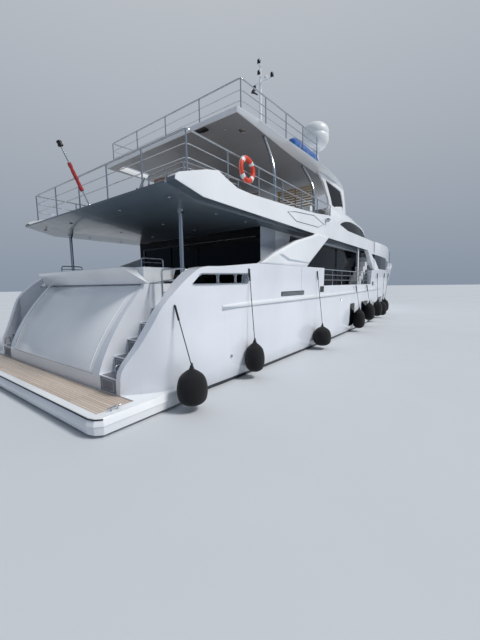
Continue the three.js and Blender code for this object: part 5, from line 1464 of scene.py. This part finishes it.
# %% Covered bundle
bundle_rings = []
for i in range(61):
    x = -7.87 + 1.96 * i / 60
    bite = min(abs(x - s) for s in (-7.55, -6.9, -6.2))
    swell = 1.0 - 0.16 * math.exp(-(bite / 0.05) ** 2) - 0.55 * max(0, abs(i - 30) / 30 - 0.88) / 0.12 * 0.5
    ring = []
    for k in range(28):
        a = 2 * math.pi * k / 28
        wave = 1 + 0.035 * math.sin(3 * a + 9 * x) + 0.025 * math.sin(7 * a - 5 * x)
        y = -2.61 + 0.225 * swell * wave * math.cos(a)
        z = 6.905 + 0.283 * swell * wave * math.sin(a)
        ring.append((x, y, max(z, 6.6225)))
    bundle_rings.append(ring)
bundle = piece("cover_bundle_canvas", loft(bundle_rings), "canvas_blue",
               stands_for=["cover_bundle"], angle=60)
straps = []
for x in (-7.55, -6.9, -6.2):
    ring = [(x, -2.61 + 0.196 * math.cos(a), max(6.905 + 0.246 * math.sin(a), 6.63)) for a in angles(28)]
    straps.append(tube(ring, 0.011, 6, closed=True))
piece("cover_straps", merged(straps), "rope_white", slot="cover")

# %% [markdown]
# The life ring hangs on the outside of the rail: an orange shell with four pale bands, and a grab line held
# by them.

# %% Life ring
RING_AT, RING_R = Vector((-11.72, -3.4726, 4.845)), 0.24


def ring_arc(start, end, tube_r, flat, steps=12):
    """Part of the ring between two angles."""
    rings = []
    for k in range(steps + 1):
        a = start + (end - start) * k / steps
        out = Vector((math.cos(a), 0, math.sin(a)))
        rings.append([RING_AT + out * (RING_R + tube_r * math.cos(b)) + Vector((0, flat * math.sin(b), 0))
                      for b in angles(18)])
    return loft(rings)


piece("life_ring_shell", merged([ring_arc(math.pi / 2 * q, math.pi / 2 * (q + 1), 0.06, 0.053)
                                 for q in range(4)]), "pvc_orange", stands_for=["life_ring"], angle=60)
bands = [ring_arc(a - 0.17, a + 0.17, 0.0615, 0.0545, 6) for a in (0.785, 2.356, 3.927, 5.498)]
piece("life_ring_bands", merged(bands), "tape_white", angle=60)
line_path = []
for k in range(48):
    a = 2 * math.pi * k / 48 + math.pi / 4
    sag = 0.024 * abs(math.sin(2 * (a - math.pi / 4)))
    line_path.append(RING_AT + Vector((math.cos(a), -0.02, math.sin(a))) * (RING_R + 0.067 - sag * 0.3))
piece("life_ring_line", tube(line_path, 0.005, 6, closed=True), "rope_white", slot="life_ring")

# %% [markdown]
# The ensign staff leans aft from the rail. Its flag is furled: rolled round the lower half of the staff in a
# spiral, so it is one sheet of bunting. A black all-round lamp stands at the top.

# %% Ensign, its staff and lamp
staff_foot, staff_head = Vector((-13.955, -0.52, 4.0903)), Vector((-14.4, -0.3, 5.34))
staff_way = (staff_head - staff_foot).normalized()
staff = [tube([staff_foot + staff_way * 0.01, staff_head], 0.017, 14),
         turned([(0, 0), (0.034, 0), (0.034, 0.012), (0.022, 0.035), (0, 0.04)], staff_foot, sides=20)]
piece("ensign_pole", merged(staff), "stainless_polished", slot="ensign", stands_for=["ensign_staff"])
first = staff_way.orthogonal().normalized()
second = staff_way.cross(first)
TURNS, HOIST = 3.4, 0.62
spiral = []
for k in range(int(TURNS * 22) + 1):
    a = 2 * math.pi * k / 22
    spiral.append((a, 0.021 + 0.0042 * a / (2 * math.pi)))
columns = []
for i in range(25):
    at = staff_foot + staff_way * (0.34 + HOIST * i / 24)
    squeeze = 1.0 + 0.22 * math.sin(i * 0.9) * math.sin(i * 0.37 + 1)
    columns.append([at + (first * math.cos(a + 0.12 * i) + second * math.sin(a + 0.12 * i))
                    * (0.02 + (r - 0.02) * squeeze * 1.6) for a, r in spiral])
flag = piece("ensign_furled", loft(columns, caps=False, ring=False), "bunting_red", angle=80)
lamp_at = Vector((-14.39, -0.305, 5.31))
lamp_way = (Vector((-14.43, -0.285, 5.43)) - lamp_at).normalized()
lamp_body = [(0, 0), (0.03, 0), (0.058, 0.015), (0.058, 0.04), (0.05, 0.045), (0.05, 0.085), (0.058, 0.09),
             (0.05, 0.12), (0, 0.128)]
piece("ensign_lamp", turned(lamp_body, lamp_at, lamp_way, 20), "abs_black", slot="ensign")

# %% [markdown]
# ## Mast and dome
# The mast is a slim white pole with a stay behind it, one crossbar, and three discs that carry lamps. Below
# them are a horn, a small dome and, near the top, two cup-shaped aerials.

# %% Mast
MAST_X = -5.7
mast_foot = [(0, ROOF_FLOOR), (0.18, ROOF_FLOOR), (0.18, 6.64), (0.07, 6.68), (0.046, 6.74), (0, 6.74)]
stay_foot = [(0, 0), (0.06, 0), (0.06, 0.008), (0.02, 0.02), (0, 0.02)]
mast = [tube([(MAST_X, 0, 6.63), (MAST_X, 0, 9.2), (MAST_X, 0, 11.85)], [0.07, 0.06, 0.045], 16),
        turned(mast_foot, (MAST_X, 0, 0)),
        tube([(MAST_X, 0, 8.2), (-6.58, 0, 6.64)], 0.02, 12),
        turned(stay_foot, (-6.585, 0, ROOF_FLOOR), sides=16),
        tube([(MAST_X, 0.32, 10.87), (MAST_X, 0, 10.87), (-5.72, -0.64, 10.85)], 0.026, 12)]
mast += [turned([(0, 0), (0.13, 0), (0.13, 0.012), (0.05, 0.03), (0, 0.03)], (-5.74, 0, z), sides=24)
         for z in (9.0, 11.1, 11.54)]
piece("mast_pole", merged(mast), "gelcoat_white", stands_for=["mast"])
light_body = [(0, 0), (0.06, 0), (0.07, 0.02), (0.07, 0.15), (0.055, 0.18), (0, 0.185)]
LIGHT_SPOTS = [(-5.8, 0, 11.57), (-5.8, 0, 11.13), (-5.8, 0, 9.03), (-5.72, -0.6, 10.87),
               (MAST_X, 0.3, 10.68)]
lights = [turned(light_body, spot, sides=18) for spot in LIGHT_SPOTS]
horn = [(0, 0), (0.03, 0), (0.035, 0.14), (0.06, 0.24), (0.08, 0.28), (0, 0.25)]
lights.append(turned(horn, (-5.78, 0.1, 10.4), (-1, 0.3, 0.1), 18))
piece("mast_lamps", merged(lights), "abs_black")
small_dome = turned([(0, -0.09), (0.064, -0.064), (0.09, 0), (0.083, 0.035), (0.064, 0.064), (0.035, 0.083),
                     (0, 0.09)], (-5.72, -0.3, 10.96), sides=24)
cup = [(0, 0), (0.012, 0), (0.012, 0.1), (0.03, 0.12), (0.03, 0.15), (0, 0.16)]
cups = [turned(cup, (MAST_X, y, 11.69), sides=14) for y in (-0.1, 0.1)]
piece("mast_antennas", merged([small_dome, *cups]), "radome_plastic")

# %% [markdown]
# The satellite dome is a shell of plastic that lets radio through: a drum with a round top and a shallow
# groove where its two halves meet. It stands on a pedestal, so that it looks over the rail. The pedestal is
# fixed; only the dish inside turns, and that isn't modelled.

# %% Satellite dome
DOME_AT = (-5.2, -2.35, 0)
dome_profile = [(0, 7.7), (0.28, 7.7), (0.36, 7.72), (0.45, 7.8), (0.51, 7.92), (0.53, 8.04), (0.53, 8.17),
                (0.524, 8.18), (0.524, 8.2), (0.53, 8.21), (0.53, 8.32)]
dome_profile += [(0.53 * math.cos(a), 8.32 + 0.4 * math.sin(a))
                 for a in [math.pi / 2 * k / 12 for k in range(1, 13)]]
piece("satcom_dome_shell", turned(dome_profile, DOME_AT, sides=48), "radome_plastic",
      stands_for=["satcom_dome"], angle=50)
pedestal = [(0, ROOF_FLOOR), (0.26, ROOF_FLOOR), (0.26, 6.64), (0.15, 6.68), (0.13, 6.72), (0.13, 7.6),
            (0.2, 7.68), (0.2, 7.702), (0, 7.702)]
piece("satcom_pedestal", turned(pedestal, DOME_AT, sides=32), "gelcoat_white")

# %% [markdown]
# ## Fenders
# Eight fenders hang along the starboard side. Each is a PVC balloon in a black knitted cover, with a thick
# rope eye at the top. Its line is taut from the rail, with a black chafe sleeve where it bends over the edge.

# %% Fenders
FENDERS = [(-14.15, 0.42, 0.27, 0.33, 1.85), (-11.97, 0.5, 0.23, 0.35, 2.56), (-8.04, 0.44, 0.29, 0.33, 2.6),
           (-3.57, 0.58, 0.26, 0.44, 2.08), (-1.7, 0.76, 0.26, 0.44, 2.08), (0.53, 0.75, 0.26, 0.44, 2.7),
           (2.74, 0.59, 0.26, 0.44, 2.75), (5.11, 0.62, 0.26, 0.44, 2.8)]


def station_breadth(x, z):
    after = next(i for i, row in enumerate(STATIONS) if row[0] >= x)
    low, high = STATIONS[after - 1], STATIONS[after]
    part = (x - low[0]) / (high[0] - low[0])
    at = [a + (b - a) * part for a, b in zip(low, high)]
    if z < at[7]:
        return at[4] + (at[5] - at[4]) * (z - WATER_Z) / (at[7] - WATER_Z)
    return at[5] + (at[6] - at[5]) * (z - at[7]) / (at[8] - at[7])


for number, (x, z, radius, half, tied) in enumerate(FENDERS, 1):
    y = -(max(station_breadth(x, z), 3.65 if x < -13.5 else 0) + radius + 0.025)
    outline = through([(0.001, -half, 0), (radius * 0.5, -half * 0.92, 0), (radius * 0.87, -half * 0.7, 0),
                       (radius * 0.995, -half * 0.3, 0), (radius * 0.99, half * 0.1, 0),
                       (radius * 0.8, half * 0.58, 0), (radius * 0.42, half * 0.86, 0),
                       (0.05, half * 0.97, 0)], 5)
    profile = [(max(p.x, 0), p.y) for p in outline]
    body = turned(profile, (x, y, z), sides=36)
    piece(f"fender_cover_{number}", body, "knit_black", stands_for=[f"fender_{number}"], angle=70)
    top = z + half
    eye = turned([(0.045, 0), (0.05, 0.03), (0.035, 0.06), (0.028, 0.09), (0, 0.1)],
                 (x, y, top - 0.03), sides=14)
    edge_y = side_y(x, tied) - 0.014
    over = Vector((x, edge_y, tied))
    line = tube([(x, y, top + 0.05), over, over + Vector((0, 0.03, 0.01))], 0.009, 8)
    knot = tube([(x - 0.02, y, top + 0.06), (x, y - 0.02, top + 0.075), (x + 0.02, y, top + 0.09),
                 (x, y + 0.02, top + 0.1)], 0.012, 8)
    sleeve_low = over.lerp(Vector((x, y, top)), 0.28 / max((over - Vector((x, y, top))).length, 0.3))
    sleeve = tube([over, sleeve_low], 0.02, 10)
    piece(f"fender_line_{number}", merged([eye, line, knot, sleeve]), "rope_black")

# %% [markdown]
# ## Under water
# Each propeller has five cast bronze blades on a hub. A blade is a wing twisted round the shaft: steep at the
# root, flatter at the tip, because the tip travels further in each turn. Shafts and their struts are steel,
# and a zinc anode on each shaft rusts away in place of the bronze.

# %% Shafts, propellers and rudders
shaft_way = Vector((-3.55, 0, -0.56)).normalized()
SHAFT_Y, RUDDER_X, RUDDER_Y = 1.5, -14.25, 1.45
BLADES, BLADE_ROOT, BLADE_LENGTH, PITCH_HEIGHT = 5, 0.09, 0.38, 0.105


def on_shaft(x, sign):
    return Vector((x, sign * SHAFT_Y, -1.0 + (x + 9.8) * 0.56 / 3.55))


for name, sign in SIDES:
    shaft = [tube([on_shaft(-8.5, sign), on_shaft(-13.345, sign)], 0.0448, 20)]
    hub_at = on_shaft(-12.9, sign)
    barrel = [(0.046, -0.13), (0.075, -0.13), (0.085, -0.09), (0.085, 0.09), (0.075, 0.13), (0.046, 0.13)]
    shaft.append(turned(barrel, hub_at, shaft_way, 24))
    foil = [(0.09 * math.cos(a), 0.018 * math.sin(a)) for a in angles(16)]
    for lean in (-0.42, 0.42):
        foot, head = hub_at + Vector((0, lean * 0.13, 0.07)), Vector((-12.9, sign * SHAFT_Y + lean, -0.42))
        shaft.append(loft([[(end.x + dx, end.y + dy, end.z) for dx, dy in foil] for end in (foot, head)]))
    piece(f"shaft_line_{name}", merged(shaft), "stainless_polished", stands_for=[f"shaft_{name}"], angle=50)
    anode = turned([(0.0452, -0.06), (0.07, -0.05), (0.08, 0), (0.07, 0.05), (0.0452, 0.06)],
                   on_shaft(-12.2, sign), shaft_way, 20)
    piece(f"shaft_anode_{name}", anode, "zinc_grey")

    prop_at = on_shaft(-13.18, sign)
    across = shaft_way.cross(Vector((0, 1, 0))).normalized()
    beside = shaft_way.cross(across)
    hub = [(0.0462, -0.11), (0.1, -0.11), (0.114, -0.08), (0.114, 0.03), (0.1, 0.07), (0.07, 0.128),
           (0.0462, 0.128)]
    prop = [loft([[prop_at + across * (r * math.cos(b)) + beside * (r * math.sin(b)) + shaft_way * h
                   for b in angles(30)] for r, h in [*hub, hub[0]]], caps=False)]
    for blade in range(BLADES):
        rings = []
        for step in range(11):
            r = BLADE_ROOT + BLADE_LENGTH * step / 10
            pitch = math.atan2(PITCH_HEIGHT, r)
            chord = 0.115 * math.sin(math.pi * (0.2 + 0.72 * step / 10)) ** 0.7
            thick = 0.012 * (1 - 0.75 * step / 10)
            ring = []
            for b in angles(14):
                u, v = chord * math.cos(b), thick * math.sin(b)
                swing = (u * math.cos(pitch) - v * math.sin(pitch)) * sign / r
                swing = swing + 2 * math.pi * blade / BLADES + 0.35 * sign * (step / 10) ** 2
                forth = min(max((u * math.sin(pitch) + v * math.cos(pitch)), -0.1), 0.1)
                ring.append(prop_at + across * (r * math.cos(swing)) + beside * (r * math.sin(swing))
                            + shaft_way * forth)
            rings.append(ring)
        prop.append(loft(rings))
    piece(f"propeller_bronze_{name}", merged(prop), "bronze_cast", f"propeller_{name}",
          stands_for=[f"propeller_{name}"], angle=50)

    wing = [(-14.66, 0.0), (-14.5, -0.014), (-14.35, -0.028), (-14.2, -0.038), (-14.08, -0.036),
            (-14.0, -0.024), (-13.965, -0.008), (-13.962, 0.008), (-14.0, 0.024), (-14.08, 0.036),
            (-14.2, 0.038), (-14.35, 0.028), (-14.5, 0.014)]
    blade = stack([([(x, sign * RUDDER_Y + dy) for x, dy in wing], z) for z in (-1.84, -1.3, -0.805)])
    stock = turned([(0, -0.81), (0.0598, -0.81), (0.0598, -0.302), (0, -0.302)],
                   (RUDDER_X, sign * RUDDER_Y, 0), sides=32)
    piece(f"rudder_blade_{name}", merged([blade, stock]), "bronze_cast", f"rudder_{name}",
          stands_for=[f"rudder_{name}"], bevel=0.003, angle=40)

# %% [markdown]
# ## Fore deck
# Nothing forward of the windscreen shows in the photograph, but the part is looked at from all sides. So the
# fore deck gets what such a yacht carries there: two anchor windlasses with a length of chain each, and a
# flush hatch.

# %% Fore deck
windlass = [(0, 3.051), (0.16, 3.051), (0.16, 3.09), (0.1, 3.12), (0.08, 3.2), (0.08, 3.24), (0.13, 3.28),
            (0.13, 3.31), (0, 3.33)]
gear = [turned(windlass, (12.6, y, 0)) for y in (-0.3, 0.3)]
gear += [tube([(12.72, y, 3.12), (13.4, y * 0.5, 3.09)], 0.018, 8) for y in (-0.3, 0.3)]
piece("anchor_windlass", merged(gear), "stainless_polished", bevel=0.004)
hatch_frame = prism("z", rounded([(10.7, -0.35), (11.4, -0.35), (11.4, 0.35), (10.7, 0.35)], 0.08),
                    3.04, 3.07)
piece("fore_hatch_frame", hatch_frame, "gelcoat_white", bevel=0.006)
hatch_pane = rounded([(10.76, -0.29), (11.34, -0.29), (11.34, 0.29), (10.76, 0.29)], 0.05)
piece("fore_hatch_glass", prism("z", hatch_pane, 3.05, 3.076), "glass_tinted")
piece("deck_nonskid_fore", prism("z", inset(FORE_WELL, 0.05), 3.045, 3.054), "nonskid_moulded")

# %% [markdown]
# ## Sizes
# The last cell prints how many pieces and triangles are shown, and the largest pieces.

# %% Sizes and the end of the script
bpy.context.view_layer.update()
counts = triangles()
print("pieces:", len(counts), "triangles:", sum(counts.values()), "largest:",
      sorted(counts.items(), key=lambda c: -c[1])[:4])
